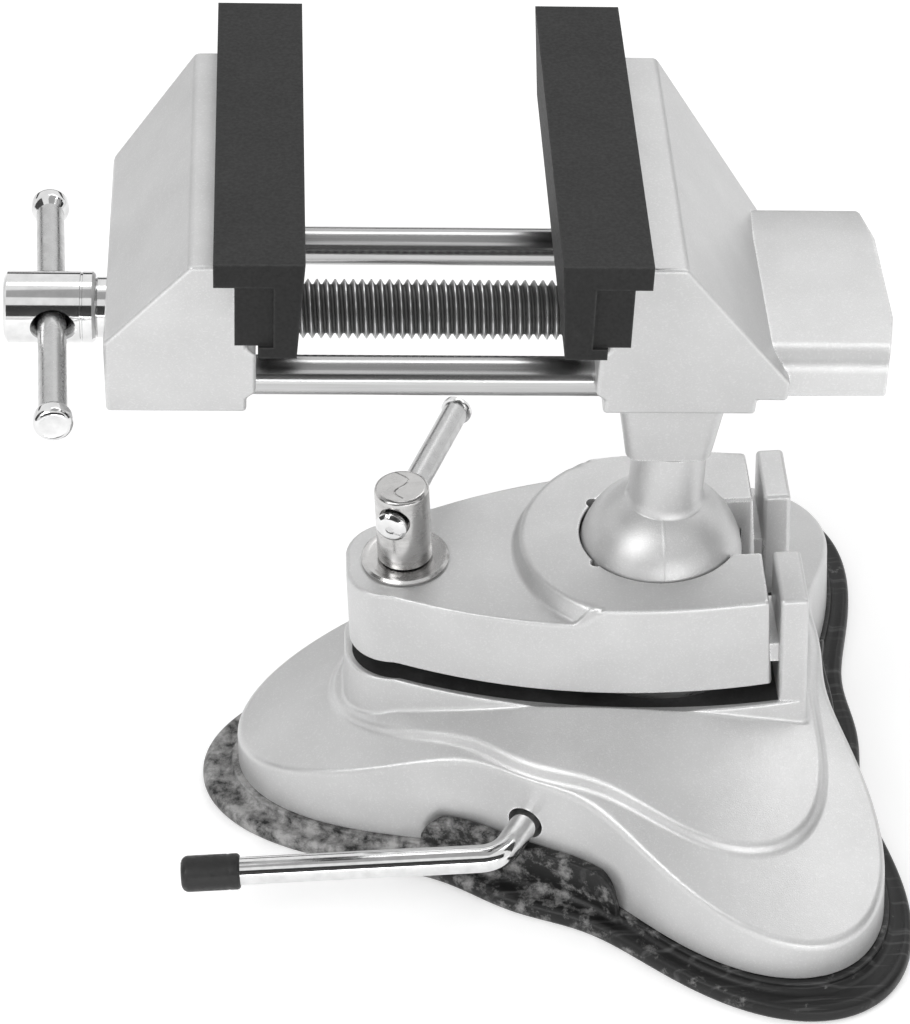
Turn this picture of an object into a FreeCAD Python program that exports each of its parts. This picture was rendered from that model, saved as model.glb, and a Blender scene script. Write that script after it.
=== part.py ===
import FreeCAD, Part
import math
import os

os.makedirs("parts", exist_ok=True)

V = FreeCAD.Vector

# Suction base vise. Millimetres, +Z up, origin in the middle of the suction face.

# Fits and gaps
RUN = 0.05
FACE_GAP = 0.05
SEAT_GAP = 0.12
CUP_GAP = 0.10
LOOSE = 0.6

# Three lobed outlines: mean radius, share of the third wave, share of the sixth wave
LOBE_STEPS = 48
PAD_LOBES = (56.3, 0.284, 0.073)
WALL_LOBES = (49.8, 0.323, 0.075)
STEP_LOBES = (41.2, 0.200, 0.055)

# Suction pad
PAD_RIM = 3.2
PAD_BEAD_TOP = 4.6
PAD_BEAD_GROW = 1.2
PAD_BEAD_INSET = 5.0
PAD_GROOVE = 1.0
PAD_SEAL = 9.0
PAD_HEART_R = 15.0
TAB_TOP = 11.5
TAB_THICK = 2.0
TAB_HALF_ANGLE = 26.0

# Base housing
WALL = 3.2
WALL_DRAFT = 1.0
CONE_SLOPE = 0.42
CONE_PEAK = 41.0
STEP_RISE = 1.5
DECK_TOP = 31.75
DECK_FOOT = 15.0
DECK_MARGIN = 1.0
DECK_FOOT_MARGIN = 2.2
ROOF_UNDER = 27.5
POST_X = 26.6
POST_END = 31.6
POST_REACH = 9.0
POST_TOP = 54.0
POST_ROUND = 1.5

# Clamp plate outline, half of it
PLATE_NOSE_X = -47.7
PLATE_NOSE_Y = 3.0
PLATE_CORNER = (-45.9, 7.2)
PLATE_SIDE_START = (-40.0, 10.2)
PLATE_SIDE_MIDDLE = (-11.4, 19.8)
PLATE_SIDE_END_Y = 20.8
PLATE_END = 24.8
PLATE_RIM = 35.0
PLATE_TOP = 50.3
PLATE_WALL = 3.0
BOSS_X = 6.2
BOSS_TOP = 53.8
BOSS_FOOT_R = 24.3
BOSS_TOP_R = 23.0
SLOT_HALF = 7.15
SLOT_FLOOR = 41.5
SOCKET_R = 18.5
SOCKET_FOOT = 44.0
SEAT_START = 51.0
RELIEF_R = 14.9

# Hook between the clamp plate and the posts
HOOK_LOW = 40.0
HOOK_HIGH = 44.0
HOOK_END = 28.6
HOOK_SIDE = 20.6
HOOK_GAP = 0.1
HOOK_END_GAP = 0.3

# Ball and neck
BALL_X = 7.6
BALL_Z = 49.0
BALL_R = 14.4
CUP_R = 15.7
CUP_TOP = 41.0
CUP_FLANGE_R = 19.5
CUP_FLANGE = 1.3
NECK_R = 6.5
HEAD_RISE = 52.3
HEAD_OFFSET = 1.4
HEAD_LEAN = 4.0
FLARE_START = -26.5
FLARE_START_HALF = 7.3
FLARE_START_OFFSET = 0.9
FLARE_TOP = -7.5
FLARE_HALF = 10.0
FLARE_ROUND = 2.5

# Clamp screw with its sliding bar
CLAMP_X = -37.1
CLAMP_STUD_R = 3.0
CLAMP_STUD_FOOT = 12.0
CLAMP_STUD_TOP = 58.3
CLAMP_BOSS_R = 7.0
CLAMP_BOSS_FOOT = 10.0
WASHER_R = 7.75
WASHER_HOLE_R = 3.4
WASHER_THICK = 1.0
BARREL_R = 4.8
BARREL_TOP = 66.6
BARREL_BORE_TOP = 58.6
CLAMP_BAR_R = 2.3
CLAMP_BAR_Z = 62.0
CLAMP_BAR_TURN = 68.4
CLAMP_BAR_NEAR = -6.45
CLAMP_BAR_FAR = 29.3
CLAMP_CAP_R = 2.8
CLAMP_CAP_LONG = 1.55

# Suction lever
LEVER_TURN = 240.0
LEVER_Z = 15.5
LEVER_R = 2.45
LEVER_INNER = 14.0
LEVER_REACH = 46.5
LEVER_BEND = 6.0
LEVER_ARM_END = -70.0
GRIP_R = 3.15
GRIP_START = -68.3
GRIP_END = -78.5
LEVER_BOSS_R = 5.5
OUTER_BOSS_INNER = 27.0
BEARING_OUTER = 20.0
BEARING_HALF = 5.5
CAM_R = 4.2
CAM_INNER = 9.0
CAM_PIN_R = 1.5
CAM_THROW = 1.5
CAM_PIN_END = -5.0
CLIP_THICK = 1.0
CLIP_R = 4.4
CLIP_SEAT_R = 1.95

# Lift plate and stud on the pad
LIFT_R = 24.0
LIFT_THICK = 2.0
LIFT_STUD_WIDE = 12.0
LIFT_STUD_DEEP = 8.0
LIFT_STUD_TOP = 21.0
LIFT_SLOT_WIDE = 6.8
LIFT_SLOT_ROOM = 0.5

# Jaws, in the level frame of the head with the spindle on its X axis
MOVING_FACE = -62.0
FIXED_FACE = -22.9
PAD_HALF = 37.6
PAD_TOP = 35.6
PAD_LIP = 14.0
PAD_FLANGE_LOW = 18.0
PAD_CHEEK = 1.6
PAD_SLANT = 1.2
PAD_HOOK = 2.4
BLADE_HALF = PAD_HALF - PAD_CHEEK
BLADE_LONG = 6.0
BLADE_LOW = 20.0
BLADE_TOP = 31.3
MOVING_BLADE = 4.8
FIXED_BLADE = 5.4
BLADE_STEM = 4.2
NOSE_STEP = 1.5
JAW_NOSE_LOW = -1.2
JAW_NOSE_HIGH = 11.1
JAW_STRIP_Z = 30.2
JAW_BOTTOM = -4.4
JAW_WALL = 3.5
JAW_HALF = 30.9
JAW_DRAFT = 0.243
MOVING_STRIP = 17.7
MOVING_END = 31.6
MOVING_SLOPE_Z = 12.1
FIXED_STRIP = 20.2
FIXED_END = 39.4
FIXED_SLOPE_Z = 3.4
CORE_HALF = 22.0
CORE_TOP = 8.0
HEART_HALF = 10.5
FLANGE_END = 11.6
FLANGE_RISE = 3.4
TAIL_HALF = 22.0
TAIL_TOP = 7.3
TAIL_LOW = -1.0
TAIL_ROOF = 1.5
TAIL_WALL = 0.6
TAIL_END = 34.5
TAIL_START = 12.0
TAIL_CORNER_LONG = 11.0
TAIL_CORNER_DEEP = 1.9
TAIL_ROUND = 2.6

# Guide rods, spindle and nut
ROD_R = 3.25
ROD_Y = 18.05
ROD_START = -91.0
ROD_END = 14.0
ROD_PIN_R = 1.25
ROD_PIN_X = -76.0
ROD_PIN_LOW = -4.0
ROD_PIN_TOP = 7.0
THREAD_R = 4.95
THREAD_START = -80.0
SPINDLE_END = 12.0
JOURNAL_R = 3.5
POCKET_START = -86.0
POCKET_HALF = 9.0
POCKET_TOP = 7.0
NUT_R = 6.8
NUT_START = -6.0
NUT_END = 8.0
NUT_CLEAR_R = 5.6
SPINDLE_CLIP_R = 6.0
SPINDLE_CLIP_SEAT_R = 2.9
COLLAR_R = 5.1
COLLAR_START = -95.8
HUB_R = 6.0
HUB_START = -110.9
HUB_CHAMFER = 0.6
STUB_START = -99.9

# Sliding bar of the spindle
TOMMY_X = -103.2
TOMMY_R = 2.35
TOMMY_TURN = 3.1
TOMMY_NEAR = -32.2
TOMMY_FAR = 30.4
TOMMY_CAP_R = 3.25
TOMMY_CAP_LONG = 3.9
TOMMY_CAP_CHAMFER = 0.6


def save(name, shape):
    """Writes one piece as its own file."""
    shape.exportStep("parts/" + name + ".step")


def bar(radius, start, end, chamfer=0.0):
    """A round bar between two points, with both ends chamfered when asked."""
    line = end.sub(start)
    solid = Part.makeCylinder(radius, line.Length, start, line)
    if chamfer > 0:
        rims = [edge for edge in solid.Edges if isinstance(edge.Curve, Part.Circle)]
        solid = solid.makeChamfer(chamfer, rims)
    return solid


def box(x0, x1, y0, y1, z0, z1):
    """A box between two corners."""
    return Part.makeBox(x1 - x0, y1 - y0, z1 - z0, V(x0, y0, z0))


def prism(points, direction):
    """A polygon swept along a direction."""
    wire = Part.makePolygon(points + [points[0]])
    return Part.Face(wire).extrude(direction)


def lobe_wire(lobes, z, grow=0.0):
    """The three lobed outline at one height."""
    points = []
    for step in range(LOBE_STEPS):
        turn = 2 * math.pi * step / LOBE_STEPS
        wave = 1 + lobes[1] * math.cos(3 * turn) + lobes[2] * math.cos(6 * turn)
        radius = lobes[0] * wave + grow
        points.append(V(-radius * math.cos(turn), -radius * math.sin(turn), z))
    curve = Part.BSplineCurve()
    curve.interpolate(points, PeriodicFlag=True)
    return Part.Wire(curve.toShape())


def lobe_block(lobes, low, high, grow=0.0, draft=0.0):
    """A block with the three lobed outline."""
    if draft == 0:
        return Part.Face(lobe_wire(lobes, low, grow)).extrude(V(0, 0, high - low))
    return Part.makeLoft([lobe_wire(lobes, low, grow), lobe_wire(lobes, high, grow - draft)], True)


def under_cone(peak):
    """All room below the shallow cone that shapes the top of the housing."""
    low = PAD_BEAD_TOP - 1
    return Part.makeCone((peak - low) / CONE_SLOPE, 0, peak - low, V(0, 0, low))


def plate_wire(z, grow, end):
    """The outline of the clamp plate, grown outward, up to its right end."""
    nose = PLATE_NOSE_X - grow
    corner = (PLATE_CORNER[0] - 0.7 * grow, PLATE_CORNER[1] + 0.7 * grow)
    start = (PLATE_SIDE_START[0] - 0.4 * grow, PLATE_SIDE_START[1] + 0.9 * grow)
    middle = (PLATE_SIDE_MIDDLE[0], PLATE_SIDE_MIDDLE[1] + grow)
    side = PLATE_SIDE_END_Y + grow
    edges = []
    for way in (-1, 1):
        low = V(nose, way * PLATE_NOSE_Y, z)
        turn = V(corner[0], way * corner[1], z)
        first = V(start[0], way * start[1], z)
        mid = V(middle[0], way * middle[1], z)
        last = V(end, way * side, z)
        pair = [Part.Arc(low, turn, first).toShape(), Part.Arc(first, mid, last).toShape()]
        edges.append((low, last, pair))
    front = edges[0]
    back = edges[1]
    closing = [Part.makeLine(front[0], back[0]), Part.makeLine(front[1], back[1])]
    return Part.Wire(Part.__sortEdges__(front[2] + back[2] + closing))


def plate_block(low, high, grow, end):
    """A block with the outline of the clamp plate."""
    return Part.Face(plate_wire(low, grow, end)).extrude(V(0, 0, high - low))


def lever_point(along, side=0.0, z=LEVER_Z):
    """A point measured outward along the lever shaft from the middle of the base."""
    turn = math.radians(LEVER_TURN)
    return V(along * math.cos(turn) - side * math.sin(turn), along * math.sin(turn) + side * math.cos(turn), z)


def lever_box(start, end, half, low, high):
    """A box lying along the lever shaft."""
    block = box(start, end, -half, half, low, high)
    block.rotate(V(0, 0, 0), V(0, 0, 1), LEVER_TURN)
    return block


def base_housing():
    """The cast body: lobed wall, coned top, step, deck and the two posts."""
    low = PAD_BEAD_TOP
    wall = lobe_block(WALL_LOBES, low, DECK_TOP, 0, WALL_DRAFT).common(under_cone(CONE_PEAK))
    step = lobe_block(STEP_LOBES, low, DECK_TOP).common(under_cone(CONE_PEAK + STEP_RISE))
    foot = plate_wire(DECK_FOOT, DECK_FOOT_MARGIN, POST_END + DECK_MARGIN)
    head = plate_wire(DECK_TOP, DECK_MARGIN, POST_END)
    body = wall.fuse(step).fuse(Part.makeLoft([foot, head], True, True))
    hollow = lobe_block(WALL_LOBES, low - 1, ROOF_UNDER, -WALL, WALL_DRAFT)
    body = body.cut(hollow.common(under_cone(CONE_PEAK - WALL)))
    for way in (-1, 1):
        near = min(way * SLOT_HALF, way * PLATE_SIDE_END_Y)
        far = max(way * SLOT_HALF, way * PLATE_SIDE_END_Y)
        post = box(POST_X, POST_END, near, far, DECK_TOP - 2, POST_TOP)
        rims = [edge for edge in post.Edges if abs(edge.tangentAt(0).z) > 0.9]
        body = body.fuse(post.makeFillet(POST_ROUND, rims))
    side = PLATE_SIDE_END_Y + POST_REACH
    groove = box(POST_X - 1, HOOK_END + HOOK_END_GAP, -side, side, HOOK_LOW - HOOK_GAP, HOOK_HIGH + HOOK_GAP)
    body = body.cut(groove)
    roof = under_cone(CONE_PEAK - 1)
    top = V(CLAMP_X, 0, CLAMP_BOSS_FOOT)
    body = body.fuse(Part.makeCylinder(CLAMP_BOSS_R, DECK_TOP - 1 - CLAMP_BOSS_FOOT, top).common(roof))
    boss = bar(LEVER_BOSS_R, lever_point(OUTER_BOSS_INNER), lever_point(LEVER_REACH))
    inside = lobe_block(WALL_LOBES, low, ROOF_UNDER, -1.0, WALL_DRAFT)
    body = body.fuse(boss.common(inside).common(roof))
    bearing = lever_box(LEVER_INNER, BEARING_OUTER, BEARING_HALF, LEVER_Z - LEVER_BOSS_R, ROOF_UNDER + 1)
    body = body.fuse(bearing)
    stud_hole = Part.makeCylinder(CLAMP_STUD_R + RUN, DECK_TOP, V(CLAMP_X, 0, CLAMP_BOSS_FOOT - 1))
    shaft_hole = bar(LEVER_R + RUN, lever_point(LEVER_INNER - 1), lever_point(LEVER_REACH))
    return body.cut(stud_hole).cut(shaft_hole).removeSplitter()


def suction_pad(housing):
    """The rubber pad: lobed rim, bead under the housing and the three pull tabs."""
    pad = lobe_block(PAD_LOBES, 0, PAD_RIM)
    bead = lobe_block(WALL_LOBES, PAD_RIM, PAD_BEAD_TOP, PAD_BEAD_GROW)
    pad = pad.fuse(bead.cut(lobe_block(WALL_LOBES, PAD_RIM, PAD_BEAD_TOP, -PAD_BEAD_INSET)))
    tab = lobe_block(WALL_LOBES, PAD_RIM, TAB_TOP, TAB_THICK)
    tab = tab.cut(lobe_block(WALL_LOBES, PAD_RIM, TAB_TOP, -0.5))
    half = math.tan(math.radians(TAB_HALF_ANGLE)) * 80
    for turn in (0, 120, 240):
        wedge = prism([V(0, 0, PAD_RIM), V(80, -half, PAD_RIM), V(80, half, PAD_RIM)], V(0, 0, TAB_TOP))
        wedge.rotate(V(0, 0, 0), V(0, 0, 1), turn)
        pad = pad.fuse(tab.common(wedge))
    groove = lobe_block(PAD_LOBES, 0, PAD_GROOVE, -PAD_SEAL)
    groove = groove.cut(Part.makeCylinder(PAD_HEART_R, PAD_GROOVE))
    outer = lobe_block(WALL_LOBES, PAD_BEAD_TOP, DECK_TOP, 0, WALL_DRAFT)
    return pad.cut(groove).cut(outer).removeSplitter()


def ball_cup():
    """The lower cup that the ball rests in."""
    cup = Part.makeCylinder(CUP_R, CUP_TOP - DECK_TOP, V(BALL_X, 0, DECK_TOP))
    cup = cup.fuse(Part.makeCylinder(CUP_FLANGE_R, CUP_FLANGE, V(BALL_X, 0, DECK_TOP)))
    return cup.cut(Part.makeSphere(BALL_R + CUP_GAP, V(BALL_X, 0, BALL_Z))).removeSplitter()


def lift_plate():
    """The steel disc bonded to the pad."""
    return Part.makeCylinder(LIFT_R, LIFT_THICK, V(0, 0, PAD_RIM))


def lift_stud():
    """The slotted stud that the cam pin pulls up."""
    low = PAD_RIM + LIFT_THICK
    stud = lever_box(-LIFT_STUD_DEEP / 2, LIFT_STUD_DEEP / 2, LIFT_STUD_WIDE / 2, low, LIFT_STUD_TOP)
    middle = LEVER_Z - CAM_THROW
    room = CAM_PIN_R + LIFT_SLOT_ROOM
    slot = lever_box(-LIFT_STUD_DEEP, LIFT_STUD_DEEP, LIFT_SLOT_WIDE / 2, middle - room, middle + room)
    return stud.cut(slot)


def lever_rod():
    """The bent chrome rod of the suction lever with its groove for the clip."""
    turn = math.radians(LEVER_TURN)
    out = V(math.cos(turn), math.sin(turn), 0)
    corner = lever_point(LEVER_REACH)
    setback = LEVER_BEND * math.tan(math.radians(30))
    start = lever_point(LEVER_INNER)
    bend_in = corner.sub(V(out).multiply(setback))
    bend_out = corner.add(V(-setback, 0, 0))
    middle_way = V(-1, 0, 0).sub(out)
    middle_way.normalize()
    middle = corner.add(middle_way.multiply(LEVER_BEND / math.cos(math.radians(30)) - LEVER_BEND))
    path = Part.Wire([
        Part.makeLine(start, bend_in),
        Part.Arc(bend_in, middle, bend_out).toShape(),
        Part.makeLine(bend_out, V(LEVER_ARM_END, corner.y, LEVER_Z)),
    ])
    ring = Part.Wire(Part.makeCircle(LEVER_R, start, out))
    rod = path.makePipeShell([ring], True, True)
    groove = bar(LEVER_R + 1, lever_point(BEARING_OUTER + FACE_GAP), lever_point(BEARING_OUTER + FACE_GAP + CLIP_THICK))
    seat = bar(CLIP_SEAT_R, lever_point(BEARING_OUTER), lever_point(BEARING_OUTER + 2 * CLIP_THICK))
    return rod.cut(groove.cut(seat))


def lever_cam():
    """The cam disc on the inner end of the rod with its eccentric pin."""
    disc = bar(CAM_R, lever_point(CAM_INNER), lever_point(LEVER_INNER - FACE_GAP))
    neck = bar(LEVER_R, lever_point(CAM_INNER), lever_point(LEVER_INNER))
    low = LEVER_Z - CAM_THROW
    pin = bar(CAM_PIN_R, lever_point(CAM_PIN_END, 0, low), lever_point(CAM_INNER + 1, 0, low))
    return disc.fuse(neck).fuse(pin).removeSplitter()


def lever_clip():
    """The ring clip that keeps the lever shaft in its bearing."""
    start = lever_point(BEARING_OUTER + FACE_GAP)
    end = lever_point(BEARING_OUTER + FACE_GAP + CLIP_THICK)
    return bar(CLIP_R, start, end).cut(bar(CLIP_SEAT_R, start, end))


def lever_grip():
    """The black grip pushed over the end of the rod."""
    y = lever_point(LEVER_REACH).y
    grip = bar(GRIP_R, V(GRIP_START, y, LEVER_Z), V(GRIP_END, y, LEVER_Z))
    rim = [edge for edge in grip.Edges if edge.BoundBox.XMax < GRIP_END + 0.1]
    grip = grip.makeFillet(1.2, rim)
    return grip.cut(bar(LEVER_R, V(GRIP_START + 1, y, LEVER_Z), V(LEVER_ARM_END, y, LEVER_Z)))


def clamp_plate():
    """The deep shell that presses the ball down, hooked into the posts."""
    shell = plate_block(PLATE_RIM, PLATE_TOP, 0, PLATE_END)
    boss = Part.makeCone(BOSS_FOOT_R, BOSS_TOP_R, BOSS_TOP - PLATE_TOP, V(BOSS_X, 0, PLATE_TOP))
    boss = boss.fuse(box(BOSS_X, PLATE_END + 1, -BOSS_TOP_R, BOSS_TOP_R, PLATE_TOP, BOSS_TOP))
    shell = shell.fuse(boss.common(plate_block(PLATE_TOP, BOSS_TOP, 0, PLATE_END)))
    inner = plate_block(PLATE_RIM, PLATE_TOP - PLATE_WALL, -PLATE_WALL, PLATE_END - PLATE_WALL)
    shell = shell.cut(inner)
    socket = Part.makeCylinder(SOCKET_R, PLATE_TOP - SOCKET_FOOT, V(BALL_X, 0, SOCKET_FOOT))
    shell = shell.fuse(socket.common(plate_block(SOCKET_FOOT, PLATE_TOP, -1, PLATE_END - 1)))
    for way in (-1, 1):
        low = min(way * SLOT_HALF, way * (SLOT_HALF + PLATE_WALL))
        high = max(way * SLOT_HALF, way * (SLOT_HALF + PLATE_WALL))
        shell = shell.fuse(box(BALL_X + 10, PLATE_END, low, high, SLOT_FLOOR, PLATE_TOP))
        low = min(way * (SLOT_HALF + 0.2), way * HOOK_SIDE)
        high = max(way * (SLOT_HALF + 0.2), way * HOOK_SIDE)
        shell = shell.fuse(box(PLATE_END - PLATE_WALL, HOOK_END, low, high, HOOK_LOW, HOOK_HIGH))
    shell = shell.fuse(Part.makeCylinder(CLAMP_BOSS_R, PLATE_TOP - HOOK_LOW, V(CLAMP_X, 0, HOOK_LOW)))
    slot = box(BALL_X, POST_X, -SLOT_HALF, SLOT_HALF, PLATE_RIM - 1, BOSS_TOP + 1)
    relief = Part.makeCylinder(RELIEF_R, SEAT_START - PLATE_RIM, V(BALL_X, 0, PLATE_RIM))
    seat = Part.makeSphere(BALL_R + SEAT_GAP, V(BALL_X, 0, BALL_Z))
    hole = Part.makeCylinder(CLAMP_STUD_R + LOOSE, PLATE_TOP, V(CLAMP_X, 0, PLATE_RIM))
    return shell.cut(slot).cut(relief).cut(seat).cut(hole).removeSplitter()


def clamp_washer():
    """The flat washer under the clamp screw."""
    foot = V(CLAMP_X, 0, PLATE_TOP)
    return Part.makeCylinder(WASHER_R, WASHER_THICK, foot).cut(Part.makeCylinder(WASHER_HOLE_R, WASHER_THICK, foot))


def clamp_stud():
    """The threaded stud in the base."""
    return bar(CLAMP_STUD_R, V(CLAMP_X, 0, CLAMP_STUD_FOOT), V(CLAMP_X, 0, CLAMP_STUD_TOP), 0.4)


def clamp_line(along):
    """A point along the sliding bar of the clamp screw."""
    turn = math.radians(CLAMP_BAR_TURN)
    return V(CLAMP_X + along * math.cos(turn), along * math.sin(turn), CLAMP_BAR_Z)


def clamp_barrel():
    """The round head of the clamp screw with its cross hole."""
    low = V(CLAMP_X, 0, PLATE_TOP + WASHER_THICK + FACE_GAP)
    barrel = bar(BARREL_R, low, V(CLAMP_X, 0, BARREL_TOP), 0.5)
    bore = Part.makeCylinder(CLAMP_STUD_R + RUN, BARREL_BORE_TOP - low.z, low)
    cross = bar(CLAMP_BAR_R + RUN, clamp_line(-BARREL_R - 1), clamp_line(BARREL_R + 1))
    return barrel.cut(bore).cut(cross)


def clamp_bar():
    """The sliding bar of the clamp screw."""
    return bar(CLAMP_BAR_R, clamp_line(CLAMP_BAR_NEAR + 0.5), clamp_line(CLAMP_BAR_FAR - 0.5))


def clamp_bar_caps():
    """The two end caps of the clamp bar."""
    near = bar(CLAMP_CAP_R, clamp_line(CLAMP_BAR_NEAR), clamp_line(CLAMP_BAR_NEAR + CLAMP_CAP_LONG), 0.3)
    far = bar(CLAMP_CAP_R, clamp_line(CLAMP_BAR_FAR - CLAMP_CAP_LONG), clamp_line(CLAMP_BAR_FAR), 0.3)
    rod = clamp_bar()
    return Part.makeCompound([near.cut(rod), far.cut(rod)])


def ball():
    """The ball of the swivel."""
    return Part.makeSphere(BALL_R, V(BALL_X, 0, BALL_Z))


def on_neck(shape):
    """Moves a piece from the level frame above the ball to its leaning place."""
    placed = shape.copy()
    placed.translate(V(BALL_X, 0, BALL_Z + HEAD_RISE))
    placed.rotate(V(BALL_X, 0, BALL_Z), V(0, 1, 0), HEAD_LEAN)
    return placed


def on_head(shape):
    """Moves a piece from the level frame of the head to its leaning place on the neck."""
    placed = shape.copy()
    placed.translate(V(-HEAD_OFFSET, 0, 0))
    return on_neck(placed)


def round_square(half, corner, offset, z):
    """A square outline with round corners, moved towards the jaws by an offset."""
    low = corner * (1 - math.cos(math.radians(45)))
    ends = []
    for side_x, side_y in ((1, 1), (-1, 1), (-1, -1), (1, -1)):
        flat = V(side_x * half - offset, side_y * (half - corner), z)
        bend = V(side_x * (half - low) - offset, side_y * (half - low), z)
        level = V(side_x * (half - corner) - offset, side_y * half, z)
        ends.append((flat, bend, level) if side_x == side_y else (level, bend, flat))
    edges = []
    for i, (first, bend, last) in enumerate(ends):
        edges.append(Part.Arc(first, bend, last).toShape())
        edges.append(Part.makeLine(last, ends[(i + 1) % 4][0]))
    return Part.Wire(edges)


def neck():
    """The neck above the ball, flaring to a rounded square under the head."""
    low = -HEAD_RISE + BALL_R / 2
    body = Part.makeCylinder(NECK_R, FLARE_START + 1 - low, V(0, 0, low))
    foot = round_square(FLARE_START_HALF, FLARE_ROUND, FLARE_START_OFFSET, FLARE_START)
    head = round_square(FLARE_HALF, FLARE_ROUND, HEAD_OFFSET, FLARE_TOP - FACE_GAP)
    body = body.fuse(Part.makeLoft([foot, head], True, True))
    return body.cut(Part.makeSphere(BALL_R + FACE_GAP, V(0, 0, -HEAD_RISE))).removeSplitter()


def jaw_half(z):
    """Half the width of a jaw casting at one height, wider towards the top."""
    return JAW_HALF - JAW_DRAFT * (JAW_STRIP_Z - z)


def across(low, high, less=0.0):
    """The room between the two slanting sides of a jaw casting."""
    reach = FIXED_END + JAW_HALF
    return prism([
        V(-reach, less - jaw_half(low), low), V(-reach, jaw_half(low) - less, low),
        V(-reach, jaw_half(high) - less, high), V(-reach, less - jaw_half(high), high),
    ], V(2 * reach, 0, 0))


def jaw_block(blade_start, strip, end, slope_z):
    """The hollow wedge of one jaw with its blade, measured away from the clamping face."""
    front = blade_start + BLADE_STEM
    nose = front - NOSE_STEP
    profile = [
        V(front, 0, JAW_BOTTOM),
        V(front, 0, JAW_NOSE_LOW),
        V(nose, 0, JAW_NOSE_LOW + NOSE_STEP),
        V(nose, 0, JAW_NOSE_HIGH - NOSE_STEP),
        V(front, 0, JAW_NOSE_HIGH),
        V(front, 0, JAW_STRIP_Z),
        V(strip, 0, JAW_STRIP_Z),
        V(end, 0, slope_z),
        V(end, 0, JAW_BOTTOM),
    ]
    for point in profile:
        point.y = -JAW_HALF
    body = prism(profile, V(0, 2 * JAW_HALF, 0)).common(across(JAW_BOTTOM, JAW_STRIP_Z))
    run = (JAW_STRIP_Z - slope_z) / (end - strip)
    back = end - JAW_WALL
    roof = JAW_STRIP_Z - JAW_WALL
    knee = strip - JAW_WALL * (math.sqrt(1 + run * run) - 1) / run
    foot_z = max(roof - (back - knee) * run, CORE_TOP)
    foot = knee + (roof - foot_z) / run
    hollow = [
        V(front + JAW_WALL, -JAW_HALF, CORE_TOP), V(front + JAW_WALL, -JAW_HALF, roof),
        V(knee, -JAW_HALF, roof), V(foot, -JAW_HALF, foot_z), V(foot, -JAW_HALF, CORE_TOP),
    ]
    if foot_z == CORE_TOP:
        hollow.pop()
    inner = prism(hollow, V(0, 2 * JAW_HALF, 0))
    body = body.cut(inner.common(across(JAW_BOTTOM, JAW_STRIP_Z, JAW_WALL)))
    blade = box(blade_start, blade_start + BLADE_LONG, -BLADE_HALF, BLADE_HALF, BLADE_LOW, BLADE_TOP)
    return body.fuse(blade)


def jaw_pad_block(blade_start):
    """The rubber cover of one jaw blade, measured away from the clamping face."""
    blade_end = blade_start + BLADE_LONG
    front = [
        V(0, -PAD_HALF, PAD_TOP), V(PAD_LIP, -PAD_HALF, PAD_TOP), V(PAD_LIP, -PAD_HALF, BLADE_TOP),
        V(blade_start, -PAD_HALF, BLADE_TOP), V(blade_start, -PAD_HALF, BLADE_LOW),
        V(blade_start + PAD_HOOK, -PAD_HALF, BLADE_LOW), V(blade_start + PAD_HOOK, -PAD_HALF, PAD_FLANGE_LOW),
        V(PAD_SLANT, -PAD_HALF, PAD_FLANGE_LOW),
    ]
    pad = prism(front, V(0, 2 * PAD_HALF, 0))
    for way in (-1, 1):
        low = min(way * BLADE_HALF, way * PAD_HALF)
        high = max(way * BLADE_HALF, way * PAD_HALF)
        pad = pad.fuse(box(blade_start, blade_end, low, high, BLADE_LOW, BLADE_TOP))
    pad = pad.removeSplitter()
    rims = []
    for edge in pad.Edges:
        span = edge.BoundBox
        if span.ZMin > PAD_TOP - 0.1 and span.ZLength < 0.1:
            rims.append(edge)
    return pad.makeFillet(0.8, rims)


def on_fixed_side(shape):
    """Puts a jaw piece on the fixed side of the gap."""
    placed = shape.copy()
    placed.translate(V(FIXED_FACE, 0, 0))
    return placed


def on_moving_side(shape):
    """Puts a jaw piece, mirrored, on the moving side of the gap."""
    placed = shape.mirror(V(0, 0, 0), V(1, 0, 0))
    placed.translate(V(MOVING_FACE, 0, 0))
    return placed


def along_x(radius, start, end, y=0.0, chamfer=0.0):
    """A round bar along the spindle direction."""
    return bar(radius, V(start, y, 0), V(end, y, 0), chamfer)


def tail_box():
    """The box behind the fixed jaw, open below and at its end."""
    tail = box(TAIL_START, TAIL_END, -TAIL_HALF, TAIL_HALF, TAIL_LOW, TAIL_TOP)
    rims = [edge for edge in tail.Edges if edge.BoundBox.ZMin > TAIL_TOP - 0.1 and edge.BoundBox.YLength < 0.1]
    tail = tail.makeFillet(TAIL_ROUND, rims)
    for way in (-1, 1):
        low = TAIL_LOW - 1
        corner = [
            V(TAIL_END, way * (TAIL_HALF - TAIL_CORNER_LONG), low), V(TAIL_END + 1, way * (TAIL_HALF + 1), low),
            V(TAIL_END - TAIL_CORNER_DEEP, way * TAIL_HALF, low),
        ]
        tail = tail.cut(prism(corner, V(0, 0, 2 * TAIL_TOP)))
    side = ROD_Y + ROD_R + 2 * RUN
    core_end = FIXED_FACE + FIXED_END
    inner = box(core_end, TAIL_END + 1, -side, side, TAIL_LOW - 1, TAIL_TOP - TAIL_ROOF)
    rims = [edge for edge in inner.Edges if edge.BoundBox.ZMin > inner.BoundBox.ZMax - 0.1]
    rims = [edge for edge in rims if edge.BoundBox.YLength < 0.1]
    return tail.cut(inner.makeFillet(TAIL_ROUND - TAIL_WALL, rims))


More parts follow.
